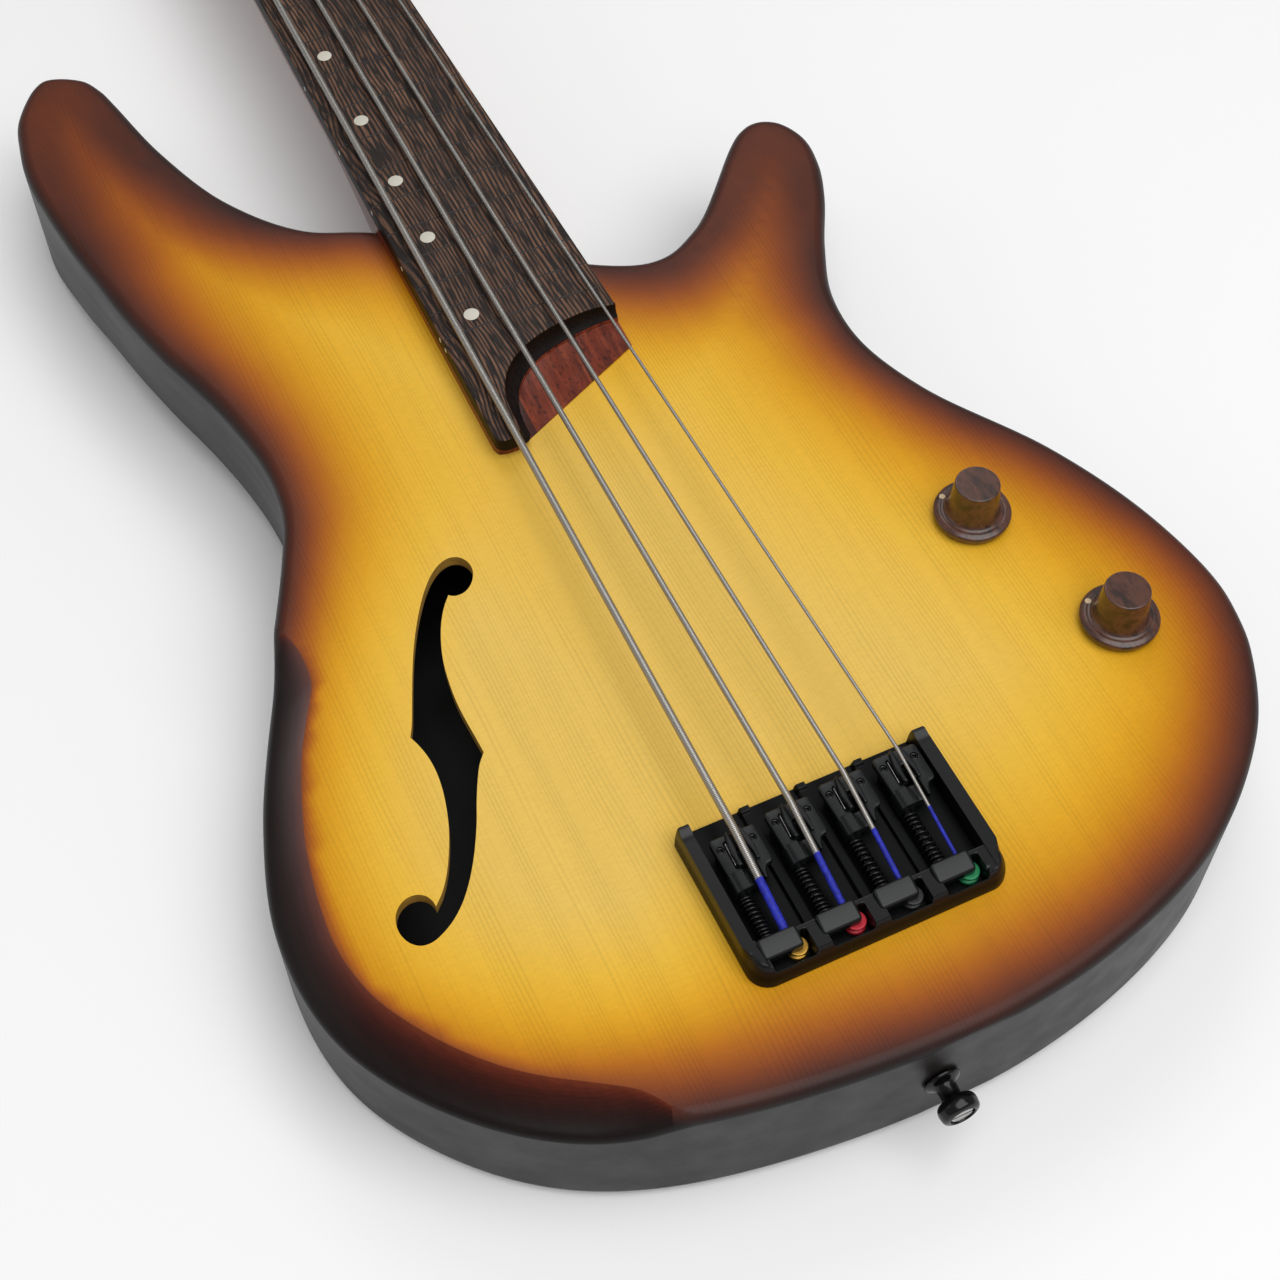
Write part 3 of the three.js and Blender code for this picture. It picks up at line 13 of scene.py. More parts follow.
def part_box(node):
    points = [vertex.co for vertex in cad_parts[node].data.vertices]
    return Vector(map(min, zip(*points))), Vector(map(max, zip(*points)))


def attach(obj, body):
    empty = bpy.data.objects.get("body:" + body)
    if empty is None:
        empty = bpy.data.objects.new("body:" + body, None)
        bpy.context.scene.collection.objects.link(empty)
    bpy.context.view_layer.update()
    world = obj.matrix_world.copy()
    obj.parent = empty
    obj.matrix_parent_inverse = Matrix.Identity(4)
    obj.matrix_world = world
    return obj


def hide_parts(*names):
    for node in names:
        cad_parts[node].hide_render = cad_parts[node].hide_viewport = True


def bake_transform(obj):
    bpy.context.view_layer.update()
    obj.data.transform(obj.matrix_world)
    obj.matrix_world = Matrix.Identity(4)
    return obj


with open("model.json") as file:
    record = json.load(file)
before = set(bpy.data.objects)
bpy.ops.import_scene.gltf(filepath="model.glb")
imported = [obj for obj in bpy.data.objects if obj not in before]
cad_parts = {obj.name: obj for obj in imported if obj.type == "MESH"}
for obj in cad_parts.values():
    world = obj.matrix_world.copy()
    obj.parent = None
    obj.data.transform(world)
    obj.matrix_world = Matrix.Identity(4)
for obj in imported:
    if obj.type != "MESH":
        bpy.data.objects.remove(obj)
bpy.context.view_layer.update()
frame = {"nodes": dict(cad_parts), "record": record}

MM = 0.001
BODY_OF_NODE = {
    node: body for body, nodes in frame["record"]["behaviour"]["bodies"].items() for node in nodes
}

# Driving sizes, in millimetres
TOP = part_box("top_plate")[1][2] / MM
PLATE_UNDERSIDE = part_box("top_plate")[0][2] / MM
HALF_WIDTH = 161.6
BODY_LENGTH = 509
TAIL = -86
TOP_ROUND = 4.4
BACK_ROUND = 6
FACET_ROUND = 2.4
RIM_POINTS, RIM_ROWS, ROUND_ROWS, WALL_ROWS, BACK_ROWS = 720, 14, 8, 6, 7
LEAST_RIM = 0.6
BELOW_BACK = -20.0  # the belly cut's height where it leaves the back alone
COVER_MARGIN, COVER_RECESS = 4.8, 2.7
SCREW_RADIUS, SCREW_RECESS = 4.9, 3.3
TOP_SLOT, FACET_SLOT, WALL_SLOT, CHAMBER_SLOT = range(4)  # the body's four finishes
SCALE_LENGTH = 864
NUT_THICKNESS = 4.5
BOARD_AT_NUT = 19
BOARD_AT_LAST_FRET = 31
LAST_FRET = 24
CROWN_RADIUS = 305
GLUE_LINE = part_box("neck")[1][2] / MM
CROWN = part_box("fingerboard")[1][2] / MM
BOARD_END = 164.5
SCOOP_TOP = 207
SCOOP_FOOT = 3.6
TONGUE_ROUND = 4.0
BOARD_ROUND = 0.7
FACE_DOTS = (15, 17, 19, 21, 24)
SIDE_DOTS = ((3, 0), (5, 0), (7, 0), (9, 0), (12, -4), (12, 4), (15, 0), (17, 0), (19, 0), (21, 0),
             (24, -2.7), (24, 2.7))
HEAD_TILT = math.radians(6)
NECK_SCREWS = (1, 2, 3, 4)
NUT_REAR = SCALE_LENGTH + NUT_THICKNESS

STRING_NAMES = ("e", "a", "d", "g")
STRING_RADII = np.array([1.33, 1.08, 0.83, 0.57])
SADDLE_X = 19 * (np.arange(4) - 1.5)
NUT_X = 9.8 * (np.arange(4) - 1.5)
WITNESS_Y = np.array([-4, -2.5, -1, 0])
POST_PLACES = ((-22.5, 48), (-20.5, 112), (20.5, 112), (22.5, 48))
POST_WAIST = 4.6
LIFT_AT_SADDLE = 3.7
LIFT_AT_NUT = 0.6

BRIDGE_FOOT = TOP + 0.3
SADDLE_TOP = BRIDGE_FOOT + 9.6
SADDLE_SCREWS_X = (-5.9, 4.7)
SADDLE_SCREWS_Y = -3.3
LONG_SCREW = np.array([-5.7, 5.9])
BLOCK_FRONT = -37.9
BALL_Y = -42.9
TRAY_MIDDLE, TRAY_HALF_WIDTH = -0.7, 42.8
TRAY_FRONT, TRAY_TURN, TRAY_REAR = 5.8, -20, -49.2
TRAY_FLOOR, TRAY_HEIGHT = 2.2, 10.4
RAIL_HEIGHT, EAR_HEIGHT, RIB_HEIGHT, WALL_HEIGHT, BLOCK_HEIGHT = 9.0, 0.9, 3.9, 8.6, 10.2
WALL_FRONT = -38.0
REAR_CORNER, FRONT_CORNER = 7.0, 1.5
RAIL_LEFT, RAIL_RIGHT = -37.9, 37.3
RIBS = np.array([-20.0, -1.0, 18.6])
RIB_HALF_WIDTH = 1.9
POCKETS = SADDLE_X[:, None] + [-8.4, 4.9]
POCKET_FRONT, POCKET_REAR = -40.2, -47.4

BODY_OUTLINE = np.array([
    [0.34, 0.621], [0.479, 0.636], [0.723, 0.715], [0.777, 0.72], [0.827, 0.712], [0.859, 0.689],
    [0.85, 0.66], [0.812, 0.628], [0.735, 0.582], [0.676, 0.536], [0.667, 0.488], [0.723, 0.431],
    [0.879, 0.347], [0.965, 0.276], [1, 0.209], [0.989, 0.177], [0.96, 0.148], [0.858, 0.097],
    [0.606, 0.037], [0.149, 0.002], [-0.502, 0.024], [-0.768, 0.069], [-0.958, 0.149],
    [-0.999, 0.228], [-0.939, 0.314], [-0.704, 0.478], [-0.664, 0.511], [-0.651, 0.539],
    [-0.655, 0.572], [-0.676, 0.608], [-0.709, 0.646], [-0.748, 0.684], [-0.787, 0.733],
    [-0.814, 0.779], [-0.835, 0.816], [-0.859, 0.896], [-0.847, 0.934], [-0.819, 0.967],
    [-0.73, 1], [-0.639, 0.988], [-0.609, 0.971], [-0.592, 0.95], [-0.546, 0.885], [-0.459, 0.812],
    [-0.332, 0.76], [-0.184, 0.735],
])
# The sunburst, in millimetres. The rim's first part keeps its width; beyond it, the dark part is
# wider by the place along the body (place, then times) on both sides of the middle, over a fade
UNSTRETCHED_RIM = 9.0
CREASE_RIM, CREASE_SLOPE = 12, 6.0
BASS_FADE, BASS_FADE_WIDTH = -38, 25
TREBLE_FADE, TREBLE_FADE_WIDTH = 28, 35
BASS_WIDENING = np.array([
    [-60, 1.0], [-35, 0.76], [0, 0.6], [60, 0.58], [110, 0.6], [145, 0.74], [175, 0.85],
    [250, 0.95], [300, 1.2], [370, 2.2], [420, 3.1],
])
TREBLE_WIDENING = np.array([
    [-40, 0.97], [0, 0.95], [140, 0.94], [175, 1.05], [210, 1.6], [240, 2.2], [278, 3.2],
])
# The forearm facet, from the waist to the tail: distance run along the rim, then width or drop
FACET_START = (-126.8, 129.7)
FACET_WIDTH = np.array([
    [-6, 0], [-2, 3.4], [0, 6.2], [3.2, 8.7], [6.2, 10.5], [9.4, 12.1], [12.4, 13.4], [15.6, 14.5],
    [19, 15.1], [25, 14.9], [34, 14.4], [44, 13.9], [56, 14.1], [75, 14.4], [91, 15], [103, 14.9],
    [119, 14.2], [140, 14.2], [160, 14.4], [190, 14.1], [216, 14], [222, 13.7], [229, 12.9],
    [235, 11.8], [238, 10.8], [241, 9.2], [244, 7.1], [247, 4.8], [251, 1.6], [254, 0],
])
FACET_DROP = np.array([
    [-6, 0], [0, 6], [4, 10], [10, 13], [20, 14], [60, 14], [100, 13.6], [134, 12], [160, 11.2],
    [190, 10.4], [216, 9.8], [228, 8.8], [238, 6.4], [246, 2.6], [254, 0],
])
BASS_CHAMBER = np.array([
    [-0.277, 0.093], [-0.545, 0.098], [-0.713, 0.133], [-0.822, 0.187], [-0.832, 0.242],
    [-0.762, 0.321], [-0.644, 0.38], [-0.525, 0.44], [-0.475, 0.519], [-0.46, 0.598],
    [-0.416, 0.657], [-0.327, 0.648], [-0.257, 0.499], [-0.248, 0.301],
])
CONTROL_CAVITY = np.array([
    [0.396, 0.143], [0.614, 0.128], [0.772, 0.148], [0.861, 0.192], [0.866, 0.242], [0.832, 0.301],
    [0.762, 0.346], [0.673, 0.38], [0.554, 0.375], [0.416, 0.346], [0.376, 0.251],
])
SOUND_HOLE_SIDES = (
    [[-69.1, 120.1], [-72.2, 116.2], [-75.6, 110.4], [-78.7, 102.8], [-80.7, 95.7], [-81.9, 88.3],
     [-82.6, 80.7], [-82.6, 72.9], [-82.3, 66.0], [-82.1, 59.9]],
    [[-82.1, 59.9], [-85.0, 56.3], [-87.7, 51.4], [-90.9, 44.6], [-93.6, 38.2], [-96.7, 31.8],
     [-100.1, 25.6], [-104.0, 19.6], [-108.2, 14.4], [-112.8, 10.3], [-117.4, 7.6], [-120.9, 6.4],
     [-124.2, 6.7], [-126.7, 8.6], [-128.3, 11.9], [-128.5, 15.7], [-127.5, 19.0], [-125.3, 21.6],
     [-122.3, 23.0], [-119.3, 22.8], [-117.0, 21.2], [-115.9, 19.0], [-115.6, 16.8]],
    [[-115.6, 16.8], [-112.1, 20.4], [-108.5, 25.7], [-105.0, 32.6], [-102.0, 40.0], [-99.8, 47.6],
     [-98.5, 54.3], [-98.0, 60.7], [-98.4, 66.4], [-99.4, 71.0], [-100.6, 74.6]],
    [[-100.6, 74.6], [-98.4, 78.9], [-95.3, 86.4], [-91.6, 95.4], [-87.7, 104.2], [-83.6, 112.2],
     [-79.3, 119.5], [-74.9, 125.8], [-70.6, 130.5], [-66.6, 133.2], [-63.2, 134.0], [-60.3, 133.0],
     [-58.4, 130.4], [-57.9, 126.9], [-59.0, 123.5], [-61.1, 120.7], [-63.7, 119.0], [-66.4, 118.7],
     [-68.0, 119.2], [-69.1, 120.1]],
)
SCOOP_LINE = np.array([
    [-0.72, 0.22], [-0.697, 0.36], [-0.64, 0.51], [-0.54, 0.645], [-0.39, 0.76], [-0.19, 0.85],
    [0.06, 0.92], [0.4, 0.975], [0.72, 1], [1.1, 0.97], [1.8, 0.9],
])


# ---- Curves and surfaces ----

def cubic(start, end, leave, arrive, t):
    """The cubic from start to end with the given slopes there, for t from 0 to 1."""
    return (start + leave * t + (3 * (end - start) - 2 * leave - arrive) * t ** 2
            + (2 * (start - end) + leave + arrive) * t ** 3)


def smooth_curve(points, steps, closed):
    """Centripetal Catmull-Rom: each span is a cubic whose end slopes come from the neighbouring
    points, weighted by the square roots of the distances between them."""
    points = np.asarray(points, float)
    if closed:
        before, start = np.roll(points, 1, 0), points
        end, after = np.roll(points, -1, 0), np.roll(points, -2, 0)
    else:
        padded = np.concatenate([
            [2 * points[0] - points[1]], points, [2 * points[-1] - points[-2]]])
        before, start, end, after = padded[:-3], padded[1:-2], padded[2:-1], padded[3:]
    reach = [np.sqrt(np.linalg.norm(b - a, axis=1))[:, None]
             for a, b in ((before, start), (start, end), (end, after))]
    leave = ((start - before) / reach[0] - (end - before) / (reach[0] + reach[1])
             + (end - start) / reach[1]) * reach[1]
    arrive = ((end - start) / reach[1] - (after - start) / (reach[1] + reach[2])
              + (after - end) / reach[2]) * reach[1]
    t = np.linspace(0, 1, steps, endpoint=False)[None, :, None]
    curve = cubic(*(value[:, None] for value in (start, end, leave, arrive)), t)
    curve = curve.reshape(-1, points.shape[1])
    return curve if closed else np.concatenate([curve, points[-1:]])


def distances_along(curve):
    """The distance run along a curve to each of its points."""
    return np.concatenate([[0], np.cumsum(np.linalg.norm(np.diff(curve, axis=0), axis=1))])


def at_distances(curve, wanted):
    """The points that lie at the wanted distances along a curve, on its straight parts."""
    along = distances_along(curve)
    return np.stack([np.interp(wanted, along, axis) for axis in curve.T], 1)


def evenly(curve, count, closed=True):
    """The same curve with its points at equal distances along it."""
    whole = np.concatenate([curve, curve[:1]]) if closed else curve
    length = distances_along(whole)[-1]
    return at_distances(whole, np.linspace(0, length, count, endpoint=not closed))


def smooth_step_table(at, places, values):
    """Values between the places of a table: each span is a cubic that keeps the slopes of its
    neighbours, limited so that it never passes the values at its ends."""
    gap = np.diff(places)
    rise = np.diff(values) / gap
    following, previous = np.append(rise, 0), np.insert(rise, 0, 0)
    slope = np.concatenate([[0], (rise[1:] + rise[:-1]) / 2, [0]])
    limit = 3 * np.minimum(np.abs(following), np.abs(previous))
    slope = np.where(following * previous > 0, np.clip(slope, -limit, limit), 0)
    held = np.clip(at, places[0], places[-1])
    span = np.clip(np.searchsorted(places, held, side="right") - 1, 0, len(gap) - 1)
    t = (held - places[span]) / gap[span]
    return cubic(values[span], values[span + 1], slope[span] * gap[span],
                 slope[span + 1] * gap[span], t)


def turning(loop):
    """One for a loop that runs anticlockwise and minus one for a clockwise loop."""
    following = np.roll(loop, -1, 0)
    return np.sign(np.sum(loop[:, 0] * following[:, 1] - following[:, 0] * loop[:, 1]))


def inward(loop):
    """Unit normals that point into a closed loop: the tangent turned towards its own area."""
    tangent = np.roll(loop, -1, 0) - np.roll(loop, 1, 0)
    tangent /= np.linalg.norm(tangent, axis=1)[:, None]
    return turning(loop) * np.stack([-tangent[:, 1], tangent[:, 0]], 1)


def on_body(shares):
    """Shares of half the width and of the length, turned into places on the body."""
    return shares * [HALF_WIDTH, BODY_LENGTH] + [0, TAIL]


def whole_turn(count):
    """Equal angles all the way round."""
    return np.linspace(0, 2 * np.pi, count, endpoint=False)


def circle(centre, radius, count):
    """Points at equal angles round a centre."""
    angle = whole_turn(count)
    return np.asarray(centre) + radius * np.stack([np.cos(angle), np.sin(angle)], 1)


def distance_to(points, loop):
    """Distance of each point to the nearest point of a loop, in blocks that fit in memory."""
    blocks = np.array_split(points, max(1, len(points) // 2000))
    return np.concatenate([
        np.sqrt(((block[:, None] - loop[None]) ** 2).sum(2).min(1)) for block in blocks
    ])


def grid_faces(rows, columns, wrap=True):
    """Quads between neighbouring rows and columns; wrap joins the last column to the first."""
    row = np.arange(rows - 1)[:, None] * columns
    column = np.arange(columns if wrap else columns - 1)[None]
    corner = row + column
    beside = row + (column + 1) % columns
    return np.stack([corner, beside, beside + columns, corner + columns], -1).reshape(-1, 4)


def lift(loop, z):
    """A flat loop set at a height, which can be one number or one for each point."""
    return np.column_stack([loop, np.broadcast_to(z, len(loop))])


def flat_region(outer, holes, spacing):
    """Triangles that fill a flat outline around its holes, over a lattice of points inside it.
    Returns the points, the triangles, and the edges that the holes leave open."""
    low, high = outer.min(0), outer.max(0)
    spacing = np.broadcast_to(spacing, 2)
    lattice = np.stack(np.meshgrid(
        np.arange(low[0] + spacing[0] / 3, high[0], spacing[0]),
        np.arange(low[1] + spacing[1] / 3, high[1], spacing[1])), -1).reshape(-1, 2)
    loops = [outer, *holes]
    lattice = lattice[distance_to(lattice, np.concatenate(loops)) > spacing.min() * 0.6]
    ends = np.cumsum([len(loop) for loop in loops])
    faces = [list(range(end - len(loop), end))[::int(turning(loop))]
             for loop, end in zip(loops, ends)]
    points = np.concatenate([*loops, lattice])
    made, _, triangles, _, _, sources = delaunay_2d_cdt(
        [Vector(point) for point in points], [], faces, 0, 1e-6)
    kept = np.array([face for face, source in zip(triangles, sources) if list(source) == [0]])
    made = np.array([tuple(point) for point in made])
    edges = np.sort(np.concatenate([kept[:, [0, 1]], kept[:, [1, 2]], kept[:, [2, 0]]]), axis=1)
    edges, uses = np.unique(edges, axis=0, return_counts=True)
    open_edges = edges[uses == 1]
    on_outer = distance_to(made, outer) < 1e-4
    return made, kept, open_edges[~on_outer[open_edges].all(1)]


def in_mm(box):
    """Lowest and highest corner of a box, in millimetres."""
    return (np.array(corner) / MM for corner in box)


def placed(name, data):
    """A new object in the scene, at the origin."""
    made = bpy.data.objects.new(name, data)
    bpy.context.collection.objects.link(made)
    return made


def finished(name, mesh, materials, crease):
    """A piece made from a mesh: its finishes, and smooth shading up to an angle."""
    for finish in materials:
        mesh.materials.append(finish)
    mesh.shade_smooth()
    mesh.set_sharp_from_angle(angle=math.radians(crease))
    return placed(name, mesh)


class Shell:
    """Surfaces gathered into one mesh, whose seams close where their points coincide."""

    def __init__(self):
        self.points, self.faces, self.slots, self.values = [], [], [], []
        self.count = 0

    def add(self, points, faces, slot=0, values=None):
        """Points with their faces, one finish or one for each face, and two numbers per point."""
        points = np.asarray(points, float).reshape(-1, 3)
        self.points.append(points)
        self.faces += (np.asarray(faces) + self.count).tolist()
        self.slots.append(np.full(len(faces), slot))
        self.values.append(np.zeros((len(points), 2)) if values is None else np.asarray(values))
        self.count += len(points)

    def grid(self, rows, slot=0, wrap=True, values=None):
        """Rows of points joined by quads."""
        rows = np.asarray(rows, float)
        self.add(rows, grid_faces(rows.shape[0], rows.shape[1], wrap), slot, values)

    def level(self, loop, z, spacing, slot=0, holes=()):
        """A level face that fills an outline around its holes."""
        points, triangles, _ = flat_region(loop, holes, spacing)
        self.add(lift(points, z), triangles, slot)

    def piece(self, name, materials, crease=35, weld=0.001, value_names=()):
        """The finished piece: points nearer than the weld become one, and faces turn outwards.
        The numbers kept at each point get their names."""
        mesh = bpy.data.meshes.new(name)
        points = np.concatenate(self.points) * MM
        mesh.from_pydata(points.tolist(), [], self.faces)
        mesh.polygons.foreach_set("material_index", np.concatenate(self.slots).astype(np.int32))
        values = np.concatenate(self.values)
        for column, value_name in enumerate(value_names):
            layer = mesh.attributes.new(value_name, "FLOAT", "POINT")
            layer.data.foreach_set("value", values[:, column].astype(np.float32))
        work = bmesh.new()
        work.from_mesh(mesh)
        bmesh.ops.remove_doubles(work, verts=work.verts, dist=weld * MM)
        bmesh.ops.dissolve_degenerate(work, edges=work.edges, dist=weld * MM / 10)
        bmesh.ops.recalc_face_normals(work, faces=work.faces)
        work.to_mesh(mesh)
        work.free()
        return finished(name, mesh, materials, crease)


def turned(profile, sides, centre=(0, 0, 0)):
    """A profile of [radius, height] pairs carried round the Z axis through a centre."""
    profile = np.asarray(profile, float)
    angle = whole_turn(sides)
    ring = np.stack([np.cos(angle), np.sin(angle), np.zeros(sides)], 1)
    rows = profile[:, :1, None] * ring[None]
    rows[:, :, 2] += profile[:, 1:2]
    return rows + np.asarray(centre)


def tube_rows(path, radius, sides, up=(0, 0, 1)):
    """Rings carried along a path: each lies across the path, measured from an upright direction.
    The ring's radius can change along the path, and closes the tube where it is zero."""
    tangent = np.gradient(path, axis=0)
    tangent /= np.linalg.norm(tangent, axis=1)[:, None]
    side = np.cross(tangent, np.broadcast_to(up, path.shape))
    side /= np.linalg.norm(side, axis=1)[:, None]
    over = np.cross(side, tangent)
    angle = whole_turn(sides)[None, :, None]
    radius = np.broadcast_to(radius, len(path))[:, None, None]
    return path[:, None] + radius * (np.cos(angle) * side[:, None] + np.sin(angle) * over[:, None])


def rounded_corner(before, corner, after, reach, most, steps):
    """A quadratic curve in place of a corner. It leaves both sides at the given reach from the
    corner, or at the most that it may take of a shorter side."""
    t = np.linspace(0, 1, steps)[:, None]
    back, on = before - corner, after - corner
    start = corner + back * min(most, reach / np.linalg.norm(back))
    end = corner + on * min(most, reach / np.linalg.norm(on))
    return (1 - t) ** 2 * start + 2 * t * (1 - t) * corner + t ** 2 * end


def rounded_profile(points, radius, steps=4):
    """An open line whose corners are rounded, all with one reach."""
    points = np.asarray(points, float)
    corners = [rounded_corner(*near, radius, 0.5, steps)
               for near in zip(points[:-2], points[1:-1], points[2:])]
    return np.concatenate([points[:1], *corners, points[-1:]])


def rounded_loop(points, radius):
    """A closed outline whose corners are rounded, each with its own reach."""
    points = np.asarray(points, float)
    reaches = np.broadcast_to(radius, len(points))
    corners = [rounded_corner(*near, 0.48, 5) for near in zip(
        np.roll(points, 1, 0), points, np.roll(points, -1, 0), reaches)]
    return evenly(np.concatenate(corners), 12 * len(points))


# ---- Finishes ----

def linear(red, green, blue):
    """A colour given as it looks on screen, 0 to 255, turned into the linear values of a shader."""
    share = np.array([red, green, blue]) / 255
    value = np.where(share <= 0.04045, share / 12.92, ((share + 0.055) / 1.055) ** 2.4)
    return (*value.tolist(), 1.0)


def fill(tree, inputs, values):
    """Each named input is linked where its value comes from another node, and set otherwise."""
    for name, value in values.items():
        if isinstance(value, bpy.types.NodeSocket):
            tree.links.new(value, inputs[name])
        else:
            inputs[name].default_value = value


def add(tree, kind, inputs=None, **settings):
    """A shader node with its settings made and its inputs filled."""
    node = tree.nodes.new("ShaderNode" + kind)
    for name, value in settings.items():
        setattr(node, name, value)
    fill(tree, node.inputs, inputs or {})
    return node


def calc(tree, operation, *values):
    """The result of a Math node."""
    return add(tree, "Math", dict(enumerate(values)), operation=operation).outputs[0]


def ramp(tree, value, stops):
    """A colour ramp; each stop is a place and a colour as it looks on screen."""
    node = add(tree, "ValToRGB", {"Fac": value})
    band = node.color_ramp
    while len(band.elements) < len(stops):
        band.elements.new(0.5)
    for element, (place, colour) in zip(band.elements, stops):
        element.position = place
        element.color = linear(*colour)
    return node.outputs["Color"]


def mix(tree, share, first, second, blend="MIX"):
    """Two colours mixed by a share, or blended in the named way."""
    node = add(tree, "Mix", data_type="RGBA", blend_type=blend)
    fill(tree, node.inputs, {0: share, 6: first, 7: second})
    return node.outputs[2]


def shaded(tree, colour, share, *further):
    """A colour multiplied by one share or by several."""
    for other in further:
        share = calc(tree, "MULTIPLY", share, other)
    tone = add(tree, "CombineXYZ", {"X": share, "Y": share, "Z": share}).outputs[0]
    return mix(tree, 1.0, colour, tone, "MULTIPLY")


def between(tree, value, low, high, start=0.0, end=1.0):
    """A value carried from one range to another, held at its ends."""
    node = add(tree, "MapRange", {
        "Value": value, "From Min": low, "From Max": high, "To Min": start, "To Max": end})
    return node.outputs["Result"]


def place_of(tree):
    """The object coordinates, one axis at a time."""
    coordinates = add(tree, "TexCoord").outputs["Object"]
    return add(tree, "SeparateXYZ", {0: coordinates}).outputs


def tag(tree, name):
    """The number that a piece's mesh keeps at each point under a name."""
    return add(tree, "Attribute", attribute_name=name).outputs["Fac"]


def stretched_noise(tree, scale, detail):
    """A noise over the object coordinates, multiplied by a scale for each axis."""
    place = add(tree, "TexCoord").outputs["Object"]
    moved = add(tree, "VectorMath", {0: place, 1: scale}, operation="MULTIPLY").outputs[0]
    return add(tree, "TexNoise", {
        "Vector": moved, "Scale": 1.0, "Detail": detail, "Roughness": 0.5}).outputs["Fac"]


def stripes(tree, across, spacing):
    """A sine wave over a distance, with one crest in each spacing."""
    turns = calc(tree, "DIVIDE", across, spacing)
    return calc(tree, "SINE", calc(tree, "MULTIPLY", turns, 2 * math.pi))


def group(name, inputs, outputs):
    """An empty shader group of numbers: names with their defaults in, and names out."""
    tree = bpy.data.node_groups.new(name, "ShaderNodeTree")
    for socket, value in inputs.items():
        made = tree.interface.new_socket(
            socket, in_out="INPUT", socket_type="NodeSocketFloat")
        made.default_value = value
    for socket in outputs:
        tree.interface.new_socket(socket, in_out="OUTPUT", socket_type="NodeSocketFloat")
    return tree, tree.nodes.new("NodeGroupInput").outputs, tree.nodes.new("NodeGroupOutput").inputs


def grain_group():
    """Long grain: two noises stretched along Y, a fine one for the lines and a broad one for the
    bands between them. Lines and Bands run from 0 to 1."""
    tree, given, made = group(
        "Long grain", {"Across": 600.0, "Along": 8.0, "Seed": 0.0}, ("Lines", "Bands"))
    place = add(tree, "TexCoord").outputs["Object"]
    for output, across_share, along_share, detail in (
            ("Lines", 1.0, 1.0, 3.0), ("Bands", 0.12, 0.35, 2.0)):
        across = calc(tree, "MULTIPLY", given["Across"], across_share)
        along = calc(tree, "MULTIPLY", given["Along"], along_share)
        scale = add(tree, "CombineXYZ", {"X": across, "Y": along, "Z": across}).outputs[0]
        stretched = add(tree, "VectorMath", {0: place, 1: scale}, operation="MULTIPLY").outputs[0]
        moved = add(tree, "VectorMath", {0: stretched, 1: given["Seed"]}, operation="ADD")
        noise = add(tree, "TexNoise", {
            "Vector": moved.outputs[0], "Scale": 1.0, "Detail": detail, "Roughness": 0.55})
        fill(tree, made, {output: noise.outputs["Fac"]})
    return tree


def spruce_group():
    """Spruce: fine regular lines along Y, whose distance X is bent a little by a broad noise, with
    broad bands and short cross flecks. Lines, Bands and Flecks run from 0 to 1."""
    tree, given, made = group("Spruce grain", {"Spacing": 0.0014}, ("Lines", "Bands", "Flecks"))
    bend = between(tree, stretched_noise(tree, (45.0, 5.0, 5.0), 2.0), 0.2, 0.8, -0.003, 0.003)
    across = calc(tree, "ADD", place_of(tree)["X"], bend)
    line = between(tree, stripes(tree, across, given["Spacing"]), -0.2, 1.0)
    strength = between(tree, stretched_noise(tree, (260.0, 9.0, 9.0), 2.0), 0.35, 0.62)
    fill(tree, made, {
        "Lines": calc(tree, "MULTIPLY", line, strength),
        "Bands": stretched_noise(tree, (70.0, 2.0, 2.0), 3.0),
        "Flecks": stretched_noise(tree, (330.0, 1100.0, 300.0), 2.0)})
    return tree


def wenge_group():
    """Wenge: narrow stripes along Y, bent by a broad noise, more so at the thick-string side, and
    broken into dashes. Stripe is 1 in the brown dashes and 0 between them."""
    tree, given, made = group("Wenge figure", {"Spacing": 0.0017}, ("Stripe", "Bands"))
    x = place_of(tree)["X"]
    bend = between(tree, stretched_noise(tree, (16.0, 11.0, 5.0), 1.0), 0.25, 0.75, -1.0, 1.0)
    swung = calc(tree, "MULTIPLY", bend, between(tree, x, -0.027, 0.002, 0.011, 0.0022))
    fine = between(
        tree, stretched_noise(tree, (300.0, 60.0, 60.0), 2.0), 0.3, 0.7, -0.0004, 0.0004)
    across = calc(tree, "ADD", calc(tree, "ADD", x, swung), fine)
    stripe = between(tree, stripes(tree, across, given["Spacing"]), -0.35, 0.25)
    dash = between(tree, stretched_noise(tree, (800.0, 75.0, 75.0), 2.0), 0.4, 0.52)
    fill(tree, made, {
        "Stripe": calc(tree, "MULTIPLY", stripe, dash),
        "Bands": stretched_noise(tree, (90.0, 14.0, 14.0), 2.0)})
    return tree


def texture_group():
    """Fine unevenness: a small noise for the surface and a larger one for rubbed places."""
    tree, given, made = group("Fine unevenness", {"Size": 900.0}, ("Fine", "Rubbed"))
    place = add(tree, "TexCoord").outputs["Object"]
    larger = calc(tree, "MULTIPLY", given["Size"], 0.06)
    for output, scale, detail in (("Fine", given["Size"], 3.0), ("Rubbed", larger, 4.0)):
        noise = add(tree, "TexNoise", {"Vector": place, "Scale": scale, "Detail": detail})
        fill(tree, made, {output: noise.outputs["Fac"]})
    return tree


